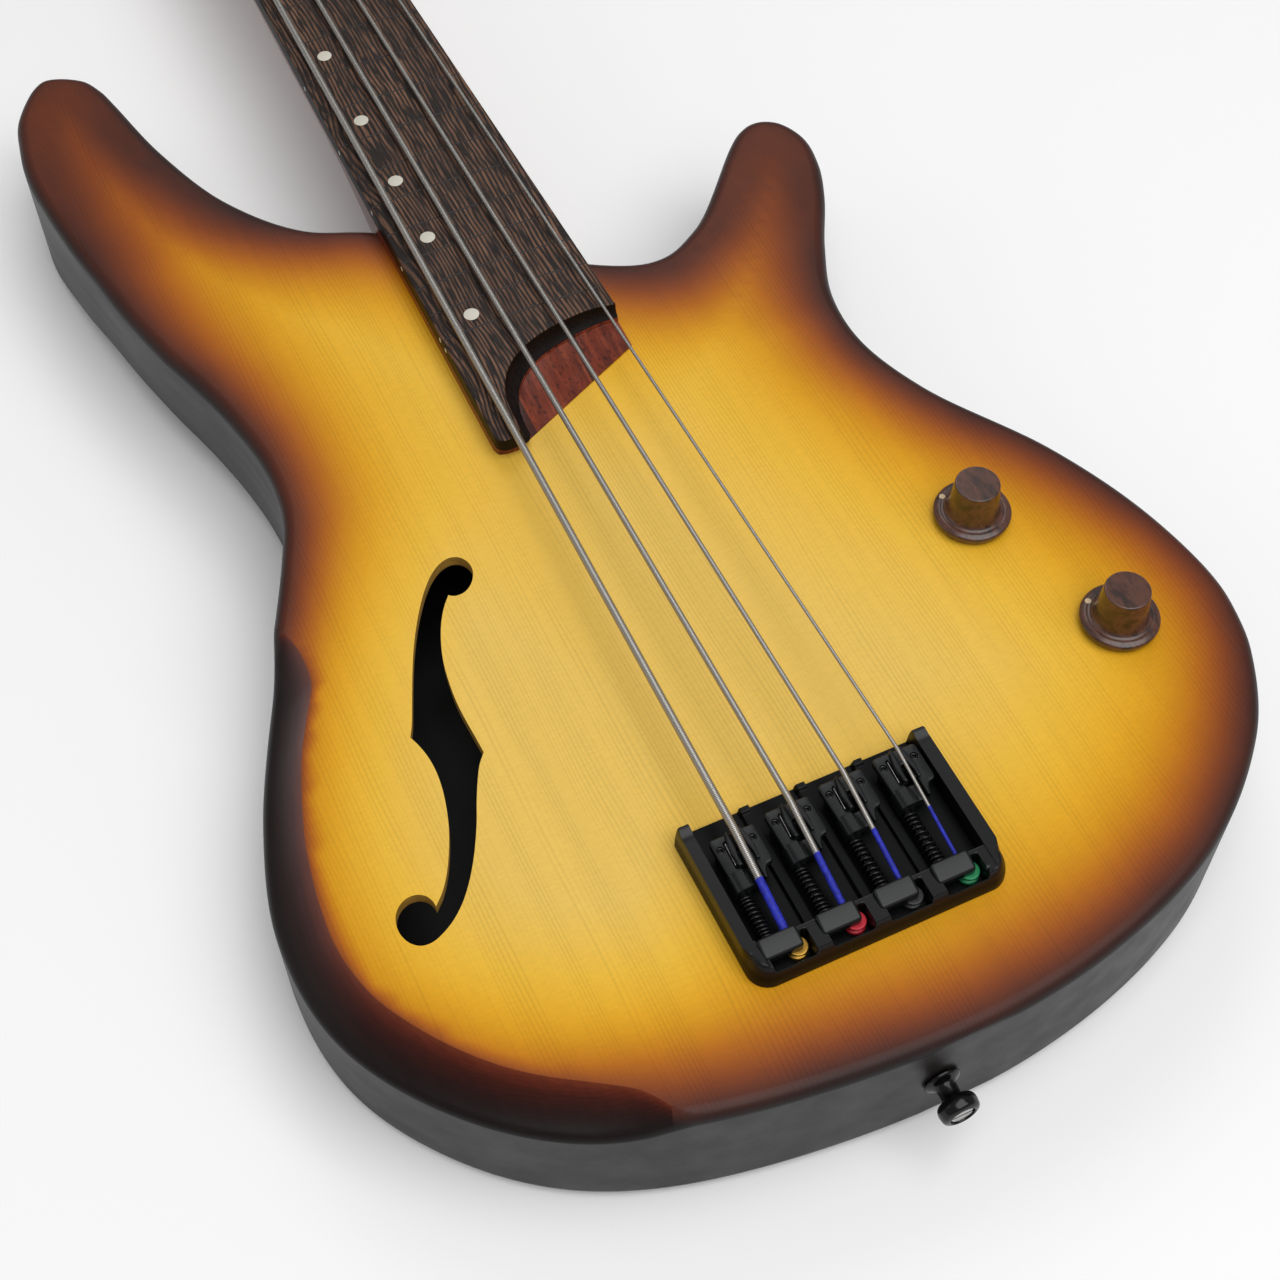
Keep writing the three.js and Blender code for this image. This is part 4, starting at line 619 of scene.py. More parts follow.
def winding_group():
    """Round winding: the height of a sine wave's half turns along the piece's own length, one for
    each turn of wire. Groove is 1 between two turns, where the strings get painted shade."""
    tree, given, made = group("Round winding", {"Pitch": 0.5}, ("Height", "Groove"))
    turns = calc(tree, "DIVIDE", tag(tree, "along"), given["Pitch"])
    wave = calc(tree, "SINE", calc(tree, "MULTIPLY", turns, math.pi))
    crest = calc(tree, "ABSOLUTE", wave)
    fill(tree, made, {"Height": crest, "Groove": between(tree, crest, 0.0, 0.55, 1.0, 0.0)})
    return tree


GRAIN = grain_group()
SPRUCE = spruce_group()
WENGE_FIGURE = wenge_group()
UNEVEN = texture_group()
WINDING = winding_group()

BURST_REACH = 110.0
BURST_STOPS = (
    (0, (36, 28, 27)), (2, (52, 31, 27)), (5, (82, 40, 28)), (8, (106, 51, 27)),
    (11, (128, 62, 24)), (15, (153, 80, 20)), (20, (177, 101, 12)), (26, (197, 126, 8)),
    (33, (211, 147, 13)), (42, (222, 163, 27)), (52, (228, 174, 42)), (65, (231, 182, 56)),
    (85, (231, 187, 76)), (110, (230, 190, 90)),
)
SILK_START = (float(WITNESS_Y[0]) - 16.5) * MM


def use(tree, node_tree, **inputs):
    """A shader group placed in a material with its own values."""
    node = tree.nodes.new("ShaderNodeGroup")
    node.node_tree = node_tree
    fill(tree, node.inputs, inputs)
    return node.outputs


def material(name):
    """A material with its Principled shader; returns the material, its tree and the shader."""
    made = bpy.data.materials.new(name)
    made.use_nodes = True
    return made, made.node_tree, made.node_tree.nodes["Principled BSDF"]


def relief(tree, shader, height, distance):
    """A height that roughens the shader's normal, with its depth in millimetres."""
    bump = add(tree, "Bump", {"Height": height, "Distance": distance * MM, "Strength": 1.0})
    fill(tree, shader.inputs, {"Normal": bump.outputs["Normal"]})


def burst_finish():
    """Satin sunburst over spruce: the colour follows the distance from the rim, and the grain
    lines, bands and flecks shade it. Below the plate's edge it turns to near-black."""
    made, tree, shader = material("satin sunburst")
    wander = add(tree, "TexNoise", {
        "Vector": add(tree, "TexCoord").outputs["Object"], "Scale": 14.0, "Detail": 2.0})
    shift = between(tree, wander.outputs["Fac"], 0.3, 0.7, -1.6, 1.6)
    place = calc(tree, "ADD", tag(tree, "burst"), shift)
    burst = ramp(tree, between(tree, place, 0.0, BURST_REACH),
                 [(distance / BURST_REACH, colour) for distance, colour in BURST_STOPS])
    grain = use(tree, SPRUCE, Spacing=0.0014)
    colour = shaded(tree, burst, between(tree, grain["Lines"], 0.0, 1.0, 1.01, 0.88),
                    between(tree, grain["Bands"], 0.3, 0.7, 1.03, 0.97),
                    between(tree, grain["Flecks"], 0.35, 0.65, 1.025, 0.975))
    edge = between(tree, place_of(tree)["Z"], (TOP - TOP_ROUND) * MM, (TOP - TOP_ROUND / 3) * MM)
    uneven = use(tree, UNEVEN, Size=1200.0)
    fill(tree, shader.inputs, {
        "Base Color": mix(tree, edge, linear(20, 16, 16), colour),
        "Roughness": between(tree, uneven["Rubbed"], 0.3, 0.7, 0.38, 0.46),
        "Specular IOR Level": 0.2})
    relief(tree, shader, grain["Lines"], 0.012)
    return made


def facet_finish():
    """Stained mahogany: red-brown at the inner edge of the facet and near-black further out, with
    fine lines that run beside the rim."""
    made, tree, shader = material("stained mahogany")
    grain = use(tree, GRAIN, Across=500.0, Along=22.0, Seed=3.0)
    bent = calc(tree, "MULTIPLY", grain["Bands"], 5.0)
    lines = calc(tree, "ADD", tag(tree, "burst"), bent)
    wave = calc(tree, "SINE", calc(tree, "MULTIPLY", lines, 5.2))
    stain = ramp(tree, tag(tree, "facet"), (
        (0.0, (24, 19, 19)), (0.25, (28, 18, 18)), (0.5, (38, 18, 15)),
        (0.75, (60, 23, 16)), (0.9, (88, 34, 20)), (1.0, (108, 48, 25))))
    fill(tree, shader.inputs, {
        "Base Color": shaded(tree, stain, between(tree, wave, -1.0, 1.0, 1.07, 0.93),
                             between(tree, grain["Lines"], 0.35, 0.65, 1.08, 0.9)),
        "Roughness": between(tree, grain["Bands"], 0.3, 0.7, 0.34, 0.42),
        "Specular IOR Level": 0.16})
    relief(tree, shader, grain["Lines"], 0.012)
    return made


def dark_wood_finish(name, grain, limits, first, second, roughest, specular):
    """Dark wood whose grain just shows: two close tones that change over its lines."""
    made, tree, shader = material(name)
    figure = use(tree, GRAIN, **grain)
    lines = between(tree, figure["Lines"], *limits)
    fill(tree, shader.inputs, {
        "Base Color": mix(tree, lines, linear(*first), linear(*second)),
        "Roughness": between(tree, figure["Bands"], 0.3, 0.7, 0.4, roughest),
        "Specular IOR Level": specular})
    relief(tree, shader, figure["Lines"], 0.01)
    return made


def chamber_finish():
    """Unlacquered wood inside the chamber and under the plate, coloured near-black there as painted
    shade for the dark chamber, and pale spruce on the cut edge of the sound hole."""
    made, tree, shader = material("chamber wood and painted shade")
    grain = use(tree, GRAIN, Across=500.0, Along=20.0, Seed=5.0)
    cut = between(tree, place_of(tree)["Z"],
                  (PLATE_UNDERSIDE + 0.2) * MM, (PLATE_UNDERSIDE + 0.7) * MM)
    # Painted shade: the near-black tones stand for the chamber's darkness, not the wood's own
    # colour.
    inside = mix(tree, grain["Lines"], linear(9, 8, 7), linear(5, 4, 4))
    spruce = mix(tree, grain["Lines"], linear(196, 152, 62), linear(136, 98, 36))
    fill(tree, shader.inputs, {
        "Base Color": mix(tree, cut, inside, spruce),
        "Roughness": between(tree, grain["Bands"], 0.3, 0.7, 0.6, 0.75)})
    return made


def wenge_finish():
    """Open-pored wenge: brown dashes a millimetre wide on near-black, along the board."""
    made, tree, shader = material("oiled wenge")
    figure = use(tree, WENGE_FIGURE, Spacing=0.0017)
    pores = use(tree, GRAIN, Across=1500.0, Along=90.0, Seed=12.0)
    band = between(tree, figure["Bands"], 0.3, 0.7)
    brown = mix(tree, band, linear(88, 61, 46), linear(124, 89, 68))
    wood = mix(tree, figure["Stripe"], linear(32, 24, 21), brown)
    fill(tree, shader.inputs, {
        "Base Color": shaded(tree, wood, between(tree, pores["Lines"], 0.38, 0.58, 1.06, 0.72)),
        "Roughness": between(tree, pores["Lines"], 0.35, 0.65, 0.45, 0.62),
        "Specular IOR Level": 0.3})
    relief(tree, shader, figure["Stripe"], 0.02)
    return made


def neck_finish():
    """Reddish neck wood with dark pores, and a darker lamination at each side of its middle."""
    made, tree, shader = material("satin neck wood")
    grain = use(tree, GRAIN, Across=420.0, Along=24.0, Seed=6.0)
    pores = use(tree, GRAIN, Across=900.0, Along=420.0, Seed=14.0)
    wood = ramp(tree, grain["Lines"], (
        (0.34, (88, 33, 18)), (0.5, (116, 46, 26)), (0.66, (138, 62, 36))))
    middle, lamination = -1.75 * MM, 14.65 * MM
    across = calc(tree, "ABSOLUTE", calc(tree, "SUBTRACT", place_of(tree)["X"], middle))
    strip = calc(tree, "ABSOLUTE", calc(tree, "SUBTRACT", across, lamination))
    inside = between(tree, strip, 1.1 * MM, 1.4 * MM, 1.0, 0.0)
    wood = mix(tree, inside, wood, linear(66, 30, 24))
    fill(tree, shader.inputs, {
        "Base Color": shaded(tree, wood, between(tree, pores["Lines"], 0.56, 0.66, 1.0, 0.35)),
        "Roughness": between(tree, grain["Bands"], 0.3, 0.7, 0.3, 0.4),
        "Coat Weight": 0.3, "Coat Roughness": 0.3, "Specular IOR Level": 0.25})
    relief(tree, shader, pores["Lines"], 0.02)
    return made


def rosewood_finish():
    """Turned rosewood: brown with soft darker streaks, waxed to a soft shine. The grub screw's hole
    is near-black where its mark says so: its black screw, and painted shade for its depth."""
    made, tree, shader = material("waxed rosewood")
    grain = use(tree, GRAIN, Across=300.0, Along=90.0, Seed=4.0)
    pores = use(tree, GRAIN, Across=2200.0, Along=160.0, Seed=9.0)
    wood = ramp(tree, grain["Lines"], (
        (0.36, (44, 25, 18)), (0.46, (70, 41, 31)), (0.56, (92, 55, 40)),
        (0.64, (66, 37, 27)), (0.72, (84, 50, 37))))
    wood = shaded(tree, wood, between(tree, pores["Lines"], 0.35, 0.6, 1.06, 0.86))
    # Near-black in the dent of the grub screw's hole: the black screw, and painted shade for the
    # hole's depth.
    dark = between(tree, tag(tree, "hole"), 0.3, 0.6)
    fill(tree, shader.inputs, {
        "Base Color": mix(tree, dark, wood, linear(6, 5, 5)),
        "Roughness": between(tree, pores["Lines"], 0.35, 0.65, 0.26, 0.36),
        "Coat Weight": 0.35, "Coat Roughness": 0.18})
    relief(tree, shader, pores["Lines"], 0.008)
    return made


def metal_finish(name, colour, rubbed, roughness, metallic):
    """Plated or lacquered metal: two tones by its rubbed places, and a fine tooth."""
    made, tree, shader = material(name)
    uneven = use(tree, UNEVEN, Size=1400.0)
    share = between(tree, uneven["Rubbed"], 0.35, 0.7)
    fill(tree, shader.inputs, {
        "Base Color": mix(tree, share, linear(*colour), linear(*rubbed)),
        "Roughness": between(tree, uneven["Fine"], 0.3, 0.7, roughness - 0.02, roughness + 0.03),
        "Metallic": metallic, "Specular IOR Level": 0.35})
    relief(tree, shader, uneven["Fine"], 0.0007)
    return made


def tray_finish():
    """Black lacquer over cast metal: smooth on the rails and the rear wall, duller below them."""
    made, tree, shader = material("black cast lacquer")
    uneven = use(tree, UNEVEN, Size=900.0)
    share = between(tree, uneven["Rubbed"], 0.35, 0.7)
    fill(tree, shader.inputs, {
        "Base Color": mix(tree, share, linear(6, 7, 8), linear(9, 10, 11)),
        "Roughness": between(tree, uneven["Fine"], 0.3, 0.7, 0.34, 0.42),
        "Coat Weight": between(tree, place_of(tree)["Z"], (TOP + 4.6) * MM, (TOP + 6.6) * MM,
                               0.0, 0.45),
        "Coat Roughness": 0.24, "Specular IOR Level": 0.12})
    relief(tree, shader, uneven["Fine"], 0.003)
    return made


def string_finish(pitch):
    """Round-wound steel that turns to blue silk behind the saddle, each with its own winding."""
    made, tree, shader = material(f"round wound string {pitch:.2f}")
    winding = use(tree, WINDING, Pitch=pitch)
    thread = use(tree, WINDING, Pitch=0.28)
    uneven = use(tree, UNEVEN, Size=700.0)
    silk = between(tree, place_of(tree)["Y"], SILK_START - 0.2 * MM, SILK_START, 1.0, 0.0)
    # Painted shade: the steel is darker in the grooves between the turns of wire.
    steel = mix(tree, winding["Groove"], linear(182, 178, 172), linear(104, 100, 96))
    share = between(tree, uneven["Fine"], 0.3, 0.7)
    blue = mix(tree, share, linear(14, 22, 140), linear(36, 50, 204))
    # Painted shade: the silk is darker in the grooves between the turns of thread.
    blue = mix(tree, thread["Groove"], blue, linear(14, 16, 84))
    fill(tree, shader.inputs, {
        "Base Color": mix(tree, silk, steel, blue),
        "Metallic": between(tree, silk, 0.0, 1.0, 0.9, 0.0),
        "Roughness": between(tree, silk, 0.0, 1.0, 0.34, 0.62)})
    relief(tree, shader, calc(tree, "MULTIPLY", winding["Height"],
                              between(tree, silk, 0.0, 1.0, 1.0, 0.25)), pitch * 0.16)
    return made


def plain_finish(name, colour, second, roughness, depth=0.01):
    """Moulded or polished material: two close tones in a fine mottle."""
    made, tree, shader = material(name)
    uneven = use(tree, UNEVEN, Size=900.0)
    fill(tree, shader.inputs, {
        "Base Color": mix(tree, uneven["Rubbed"], linear(*colour), linear(*second)),
        "Roughness": between(tree, uneven["Fine"], 0.3, 0.7, roughness - 0.05, roughness + 0.05)})
    relief(tree, shader, uneven["Fine"], depth)
    return made


BURST = burst_finish()
FACET = facet_finish()
WALL = dark_wood_finish("satin black stain", {"Across": 700.0, "Along": 26.0, "Seed": 8.0},
                        (0.35, 0.65), (30, 23, 20), (17, 13, 12), 0.5, 0.42)
CHAMBER = chamber_finish()
WENGE = wenge_finish()
# The board's sides and scooped end wall: the same wenge, darkened as painted shade.
SHADED_BOARD_EDGE = dark_wood_finish("oiled wenge edge in painted shade", {"Across": 1300.0, "Along": 40.0, "Seed": 5.0},
                              (0.4, 0.68), (14, 10, 9), (30, 20, 17), 0.52, 0.12)
NECK_WOOD = neck_finish()
ROSEWOOD = rosewood_finish()
BLACK = metal_finish("satin black plating", (12, 14, 15), (16, 19, 20), 0.3, 0.0)
TRAY = tray_finish()
GLOSS_BLACK = metal_finish("gloss black lacquer", (9, 9, 10), (13, 13, 14), 0.15, 0.0)
STEEL = metal_finish("bright steel", (196, 194, 190), (168, 166, 162), 0.28, 1.0)
PLASTIC = plain_finish("matt black plastic", (26, 26, 27), (34, 34, 35), 0.6, depth=0.03)
BONE = plain_finish("polished bone", (226, 216, 192), (214, 202, 176), 0.35)
DOT = plain_finish("white inlay", (214, 210, 196), (196, 192, 178), 0.35)
CREAM = plain_finish("cream inlay", (222, 196, 160), (206, 180, 144), 0.4)
LINE = plain_finish("dark fret line", (26, 21, 20), (38, 30, 28), 0.5)
BALL_COLOURS = {
    "e": ((176, 138, 62), (150, 112, 44)), "a": ((190, 36, 52), (160, 26, 40)),
    "d": ((52, 52, 54), (36, 36, 38)), "g": ((28, 132, 82), (20, 104, 64)),
}


# ---- Body ----

def facet_along(outline):
    """Width and drop of the forearm facet at each outline point: smooth tables over the distance
    run from the facet's start at the waist, and zero elsewhere."""
    step = np.linalg.norm(np.roll(outline, -1, 0) - outline, axis=1).mean()
    start = np.argmin(np.linalg.norm(outline - FACET_START, axis=1))
    run = (np.arange(len(outline)) - start) * turning(outline) * step
    whole = len(outline) * step
    run = (run + whole / 4) % whole - whole / 4
    return (smooth_step_table(run, *table.T) for table in (FACET_WIDTH, FACET_DROP))


def belly(points):
    """Height of the belly cut over the back: a barrel's surface, whose radius shrinks towards
    both ends with the square of the distance from its middle."""
    radius, depth, low, high, edge_x = 260, 14, 100, 400, -105
    share = (points[:, 1] - low) / (high - low)
    barrel = radius - 2 * depth * (2 * share - 1) ** 2
    from_axis = points[:, 0] - (edge_x - radius / 3)
    axis_z = depth - math.sqrt(radius ** 2 - (radius / 3) ** 2)
    surface = axis_z + np.sqrt(np.maximum(barrel ** 2 - from_axis ** 2, 0))
    inside = (share > 0) & (share < 1)
    return np.where(inside, np.maximum(surface, BELOW_BACK), BELOW_BACK)


def burst_distance(points, outline, crease):
    """Distance from the rim, in millimetres, divided by a share that is large over the horns,
    where the dark part of the sunburst is several times wider, and small beside the facet. The
    first few millimetres are never stretched. Close to the facet's crease the distance counts
    from there."""
    rim = distance_to(points, outline)
    x, y = points[:, 0], points[:, 1]
    bass_side = np.clip((BASS_FADE - x) / BASS_FADE_WIDTH, 0, 1)
    treble_side = np.clip((x - TREBLE_FADE) / TREBLE_FADE_WIDTH, 0, 1)
    wide = (1 + (np.interp(y, *BASS_WIDENING.T) - 1) * bass_side
            + (np.interp(y, *TREBLE_WIDENING.T) - 1) * treble_side)
    near = np.maximum(rim / wide, np.minimum(rim, UNSTRETCHED_RIM * (1 - 1 / wide)))
    return np.minimum(near, CREASE_RIM + CREASE_SLOPE * distance_to(points, crease))


def sound_hole():
    """Outline of the sound hole: four smooth curves between its two points and the two notches
    where its stem meets its round ends."""
    return np.concatenate([smooth_curve(side, 6, False)[:-1] for side in SOUND_HOLE_SIDES])


def body_rows(outline, width, drop, corner):
    """Rows of points from the top over the rim to the back, and how far each lies inside.

    At distance t inside the outline, the height is the top, less the facet's drop times
    1 - 0.35 u - 0.65 u ^ 2 with u = t / width, less a quarter circle near the outline. The wall
    runs down to a second quarter circle at the back.
    """
    reach = np.maximum(width, corner + LEAST_RIM)

    def height(inset):
        """Height of the top and the facet, before their edge is rounded."""
        inside = np.clip(inset / np.maximum(width, 1e-6), 0, 1)
        return TOP - drop * (1 - 0.35 * inside - 0.65 * inside ** 2)

    insets, heights = [], []
    for share in np.linspace(1, 0, RIM_ROWS, endpoint=False):
        insets.append(corner + share * (reach - corner))
        heights.append(height(insets[-1]))
    for angle in np.linspace(math.pi / 2, 0, ROUND_ROWS):
        insets.append(corner * (1 - math.cos(angle)))
        heights.append(height(insets[-1]) - corner * (1 - math.sin(angle)))
    at_rim = 0 * width
    wall_top = height(at_rim) - corner
    for share in np.linspace(0, 1, WALL_ROWS)[1:-1]:
        insets.append(at_rim)
        heights.append(wall_top + share * (BACK_ROUND - wall_top))
    for angle in np.linspace(0, math.pi / 2, BACK_ROWS):
        insets.append(BACK_ROUND * (1 - math.cos(angle)) + at_rim)
        heights.append(BACK_ROUND * (1 - math.sin(angle)) + at_rim)
    insets = np.array(insets)
    places = outline + inward(outline) * insets[:, :, None]
    return np.concatenate([places, np.array(heights)[:, :, None]], 2), insets


def add_top(shell, loop, hole, tags_at):
    """The level top around the sound hole, and the plate's cut edge inside the hole."""
    points, triangles, cut_edges = flat_region(loop, [hole], 5.0)
    shell.add(lift(points, TOP), triangles, TOP_SLOT, tags_at(points))
    start, end = points[cut_edges].transpose(1, 0, 2)
    quads = np.concatenate([lift(start, TOP), lift(end, TOP),
                            lift(end, PLATE_UNDERSIDE), lift(start, PLATE_UNDERSIDE)])
    corners = np.arange(len(quads)).reshape(4, -1).T
    shell.add(quads, corners, CHAMBER_SLOT, tags_at(quads[:, :2]))


def add_chamber(shell, hole):
    """The chamber behind the sound hole: its ceiling, which is open there, floor and wall."""
    chamber = smooth_curve(on_body(BASS_CHAMBER), 10, True)
    shell.level(chamber, PLATE_UNDERSIDE, 12.0, CHAMBER_SLOT, [hole])
    shell.level(chamber, BACK_ROUND, 20.0, CHAMBER_SLOT)
    heights = np.linspace(PLATE_UNDERSIDE, BACK_ROUND, 5)
    shell.grid([lift(chamber, z) for z in heights], CHAMBER_SLOT)


def add_back(shell, loop):
    """The back with its belly cut, and the recesses of the cover and of the neck screws."""
    cavity = smooth_curve(on_body(CONTROL_CAVITY), 8, True)
    recesses = [(cavity - inward(cavity) * COVER_MARGIN, COVER_RECESS)]
    recesses += [(circle(screw_centre(number), SCREW_RADIUS, 32), SCREW_RECESS)
                 for number in NECK_SCREWS]
    points, triangles, _ = flat_region(loop, [recess for recess, _ in recesses], 7.0)
    cut = belly(points)
    z = np.where(cut > BELOW_BACK / 2, np.logaddexp(0, cut), 0)
    shell.add(lift(points, z), triangles, WALL_SLOT)
    for recess, depth in recesses:
        shell.grid([lift(recess, 0), lift(recess, depth)], WALL_SLOT)
        shell.level(recess, depth, 8.0, WALL_SLOT)


def make_body():
    """Body and top plate in one skin: the rim, whose back half rises to the belly cut by a soft
    maximum, and the level faces inside it. Each point keeps its distance for the sunburst and its
    share of the facet's width."""
    shell = Shell()
    outline = evenly(smooth_curve(on_body(BODY_OUTLINE), 24, True), RIM_POINTS)
    width, drop = facet_along(outline)
    crease = (outline + inward(outline) * width[:, None])[width > 5]
    corner = TOP_ROUND + (FACET_ROUND - TOP_ROUND) * np.clip(drop / 10, 0, 1)

    def tags_at(points, facet=1.0):
        """Distance for the sunburst and share of the facet's width, for each point."""
        facet = np.broadcast_to(facet, len(points))
        return np.column_stack([burst_distance(points, outline, crease), facet])

    rows, insets = body_rows(outline, width, drop, corner)
    flat = rows.reshape(-1, 3)
    risen = np.logaddexp(flat[:, 2], belly(flat[:, :2]))
    flat[:, 2] = np.where(flat[:, 2] < TOP / 2, risen, flat[:, 2])
    faces = grid_faces(len(rows), len(outline))
    face_row, face_column = np.divmod(np.arange(len(faces)), len(outline))
    in_facet = (drop > 0.6) & (width > corner + LEAST_RIM)
    slots = np.where(in_facet[face_column], FACET_SLOT, TOP_SLOT)
    slots = np.where(face_row < RIM_ROWS + ROUND_ROWS - 1, slots, WALL_SLOT)
    facet = np.clip(insets / np.maximum(width, 1e-6), 0, 1)
    shell.add(rows, faces, slots, tags_at(flat[:, :2], facet.reshape(-1)))

    hole = sound_hole()
    add_top(shell, rows[0][:, :2], hole, tags_at)
    add_chamber(shell, hole)
    add_back(shell, rows[-1][:, :2])
    low, high = in_mm(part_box("body_core"))
    for points in shell.points:
        points[:, :2] = np.clip(points[:, :2], low[:2], high[:2])
    piece = shell.piece("body", [BURST, FACET, WALL, CHAMBER], 32, 0.004, ("burst", "facet"))
    weigh = piece.modifiers.new("Even shading", "WEIGHTED_NORMAL")
    weigh.keep_sharp = True
    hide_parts("body_core", "top_plate")
    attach(piece, "guitar")


def screw_centre(number):
    """Middle of a neck screw, seen from the back."""
    low, high = in_mm(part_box(f"neck_screw_{number}"))
    return (low + high)[:2] / 2


# ---- Fingerboard ----

def fret_place(number):
    """Distance of a fret from the saddle line: it halves with every twelve frets."""
    return SCALE_LENGTH * 2 ** (-number / 12)


def board_half_width(y):
    """Half of the board's width, which grows evenly from the nut to the last fret."""
    growth = (BOARD_AT_LAST_FRET - BOARD_AT_NUT) / (SCALE_LENGTH - fret_place(LAST_FRET))
    return BOARD_AT_NUT + (SCALE_LENGTH - y) * growth


def crown_height(x):
    """Height of the board's crown: a circle across the board."""
    return CROWN - CROWN_RADIUS + np.sqrt(CROWN_RADIUS ** 2 - x ** 2)


def board_loop(foot):
    """Outline of the board at one height. The scoop's line moves out of the board by the foot."""
    scoop = SCOOP_LINE * [BOARD_AT_LAST_FRET, SCOOP_TOP - BOARD_END]
    scoop = smooth_curve(scoop + [foot, BOARD_END - foot * 0.65], 16, False)
    edge = board_half_width(SCOOP_TOP)
    cut = np.argmax(scoop[:, 0] > edge)
    share = (edge - scoop[cut - 1, 0]) / (scoop[cut, 0] - scoop[cut - 1, 0])
    crossing = scoop[cut - 1] + share * (scoop[cut] - scoop[cut - 1])
    scoop = evenly(np.concatenate([scoop[:cut], [crossing]]), 70, False)

    quarter = np.linspace(0, math.pi / 2, 7)
    falling, rising = TONGUE_ROUND * (1 - np.cos(quarter)), TONGUE_ROUND * (1 - np.sin(quarter))
    bass_corner = np.stack([falling - board_half_width(BOARD_END), BOARD_END + rising], 1)
    tongue_corner = np.stack([scoop[0, 0] - rising, BOARD_END + falling], 1)
    nut_y = SCALE_LENGTH - 0.3
    sides = np.linspace(scoop[-1, 1], nut_y, 120)
    treble = np.stack([board_half_width(sides), sides], 1)
    nut_end = np.linspace([BOARD_AT_NUT, nut_y], [-BOARD_AT_NUT, nut_y], 14)[1:-1]
    sides = np.linspace(nut_y, BOARD_END + TONGUE_ROUND, 120)
    bass = np.stack([-board_half_width(sides), sides], 1)
    return np.concatenate([bass_corner[1:], tongue_corner, scoop[1:], treble, nut_end, bass])


def make_fingerboard():
    """The crown is a circle across the board. A quarter circle rounds its edge, and the scooped
    wall leans out to its foot."""
    shell = Shell()
    upper = board_loop(0.0)
    into = inward(upper)
    rows = []
    for angle in np.linspace(math.pi / 2, 0, 5):
        loop = upper + into * BOARD_ROUND * (1 - math.cos(angle))
        rows.append(lift(loop, crown_height(loop[:, 0]) - BOARD_ROUND * (1 - math.sin(angle))))
    glue = GLUE_LINE + 0.3
    for down, out in ((0.3, 0.06), (0.5, 0.18), (0.68, 0.38), (0.84, 0.66), (1.0, 1.0)):
        loop = board_loop(SCOOP_FOOT * out)
        top = crown_height(loop[:, 0]) - BOARD_ROUND
        rows.append(lift(loop, top + (glue - top) * down))
    shell.grid(rows[:4])
    # The sides and the scoop's wall take the second finish: wenge darkened as painted shade.
    shell.grid(rows[3:], 1)
    points, triangles, _ = flat_region(rows[0][:, :2], [], (3.5, 9.0))
    shell.add(lift(points, crown_height(points[:, 0])), triangles)
    shell.level(rows[-1][:, :2], glue, (12.0, 40.0), 1)
    piece = shell.piece("fingerboard_wood", [WENGE, SHADED_BOARD_EDGE], 30, 0.004)
    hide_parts("fingerboard")
    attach(piece, "guitar")


def make_fret_lines():
    """Thin veneers let into the board where frets would be, each following the crown."""
    shell = Shell()
    sunk, proud, half_line = -1.0, 0.03, 0.32
    for number in range(1, LAST_FRET + 1):
        y = fret_place(number)
        half = board_half_width(y) - 0.4
        x = np.linspace(-half, half - 1 if number == LAST_FRET else half, 24)
        rows = np.stack([
            np.stack([x, np.full(len(x), y + side * half_line), crown_height(x) + rise], 1)
            for side, rise in ((-1, sunk), (-1, proud), (1, proud), (1, sunk))], 1)
        shell.grid(rows)
        for end in (0, -1):
            shell.add(rows[end], [[0, 1, 2, 3]])
    piece = shell.piece("fret_lines", [LINE], 30)
    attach(piece, "guitar")


def disc(radius, low, high, sides=32):
    """Rows of a flat-topped inlay round the Z axis, with its edge barely rounded."""
    profile = [[0, low], [radius, low], [radius, high], [0, high]]
    return turned(rounded_profile(profile, 0.12), sides)


def make_board_dots():
    """Round inlays between the two thick strings, whose faces follow the crown of the board, and
    small ones on the board's edge."""
    shell = Shell()
    for number in FACE_DOTS:
        y = (fret_place(number) + fret_place(number - 1)) / 2
        rows = disc(2.8, -1.0, 0.06) + [-17.3 + 2.03 * (y - 216) / 200, y, 0]
        rows[:, :, 2] += crown_height(rows[:, :, 0])
        shell.grid(rows)
    piece = shell.piece("face_dots", [DOT], 30)
    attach(piece, "guitar")
    shell = Shell()
    for number, shift in SIDE_DOTS:
        y = fret_place(number) + shift
        edge = np.array([-board_half_width(y), y, GLUE_LINE + 3.2])
        shell.grid(disc(0.95, -0.06, 1.0, 20)[:, :, [2, 1, 0]] + edge)
    piece = shell.piece("side_dots", [DOT], 30)
    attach(piece, "guitar")


# ---- Strings ----

def winding_path(order):
    """The turns on a post, in the headstock's frame: a helix down the waist from the point where
    the string meets it, ending in a short straight tail."""
    post_x, post_s = POST_PLACES[order]
    radius = STRING_RADII[order]
    turn = POST_WAIST + radius
    hand = -np.sign(post_x)
    aside = post_x - NUT_X[order]
    heading = math.atan2(post_s, aside) - hand * math.asin(turn / math.hypot(post_s, aside))
    turns = np.linspace(0, 2, 97)
    angle = heading + hand * (2 * math.pi * turns - math.pi / 2)
    fall = (2 * radius + 0.62) * turns
    helix = np.stack([post_x + turn * np.cos(angle), post_s + turn * np.sin(angle), 9.8 - fall], 1)
    last = angle[-1] + hand * math.pi / 2
    tail = helix[-1] + 2 * radius * np.array([math.cos(last), math.sin(last), 0])
    return np.concatenate([helix, [tail]])


def from_head(points):
    """Points in the headstock's frame, tilted back about the end of the nut."""
    cosine, sine = math.cos(HEAD_TILT), math.sin(HEAD_TILT)
    y = NUT_REAR + points[:, 1] * cosine + points[:, 2] * sine
    z = GLUE_LINE - points[:, 1] * sine + points[:, 2] * cosine
    return np.stack([points[:, 0], y, z], 1)


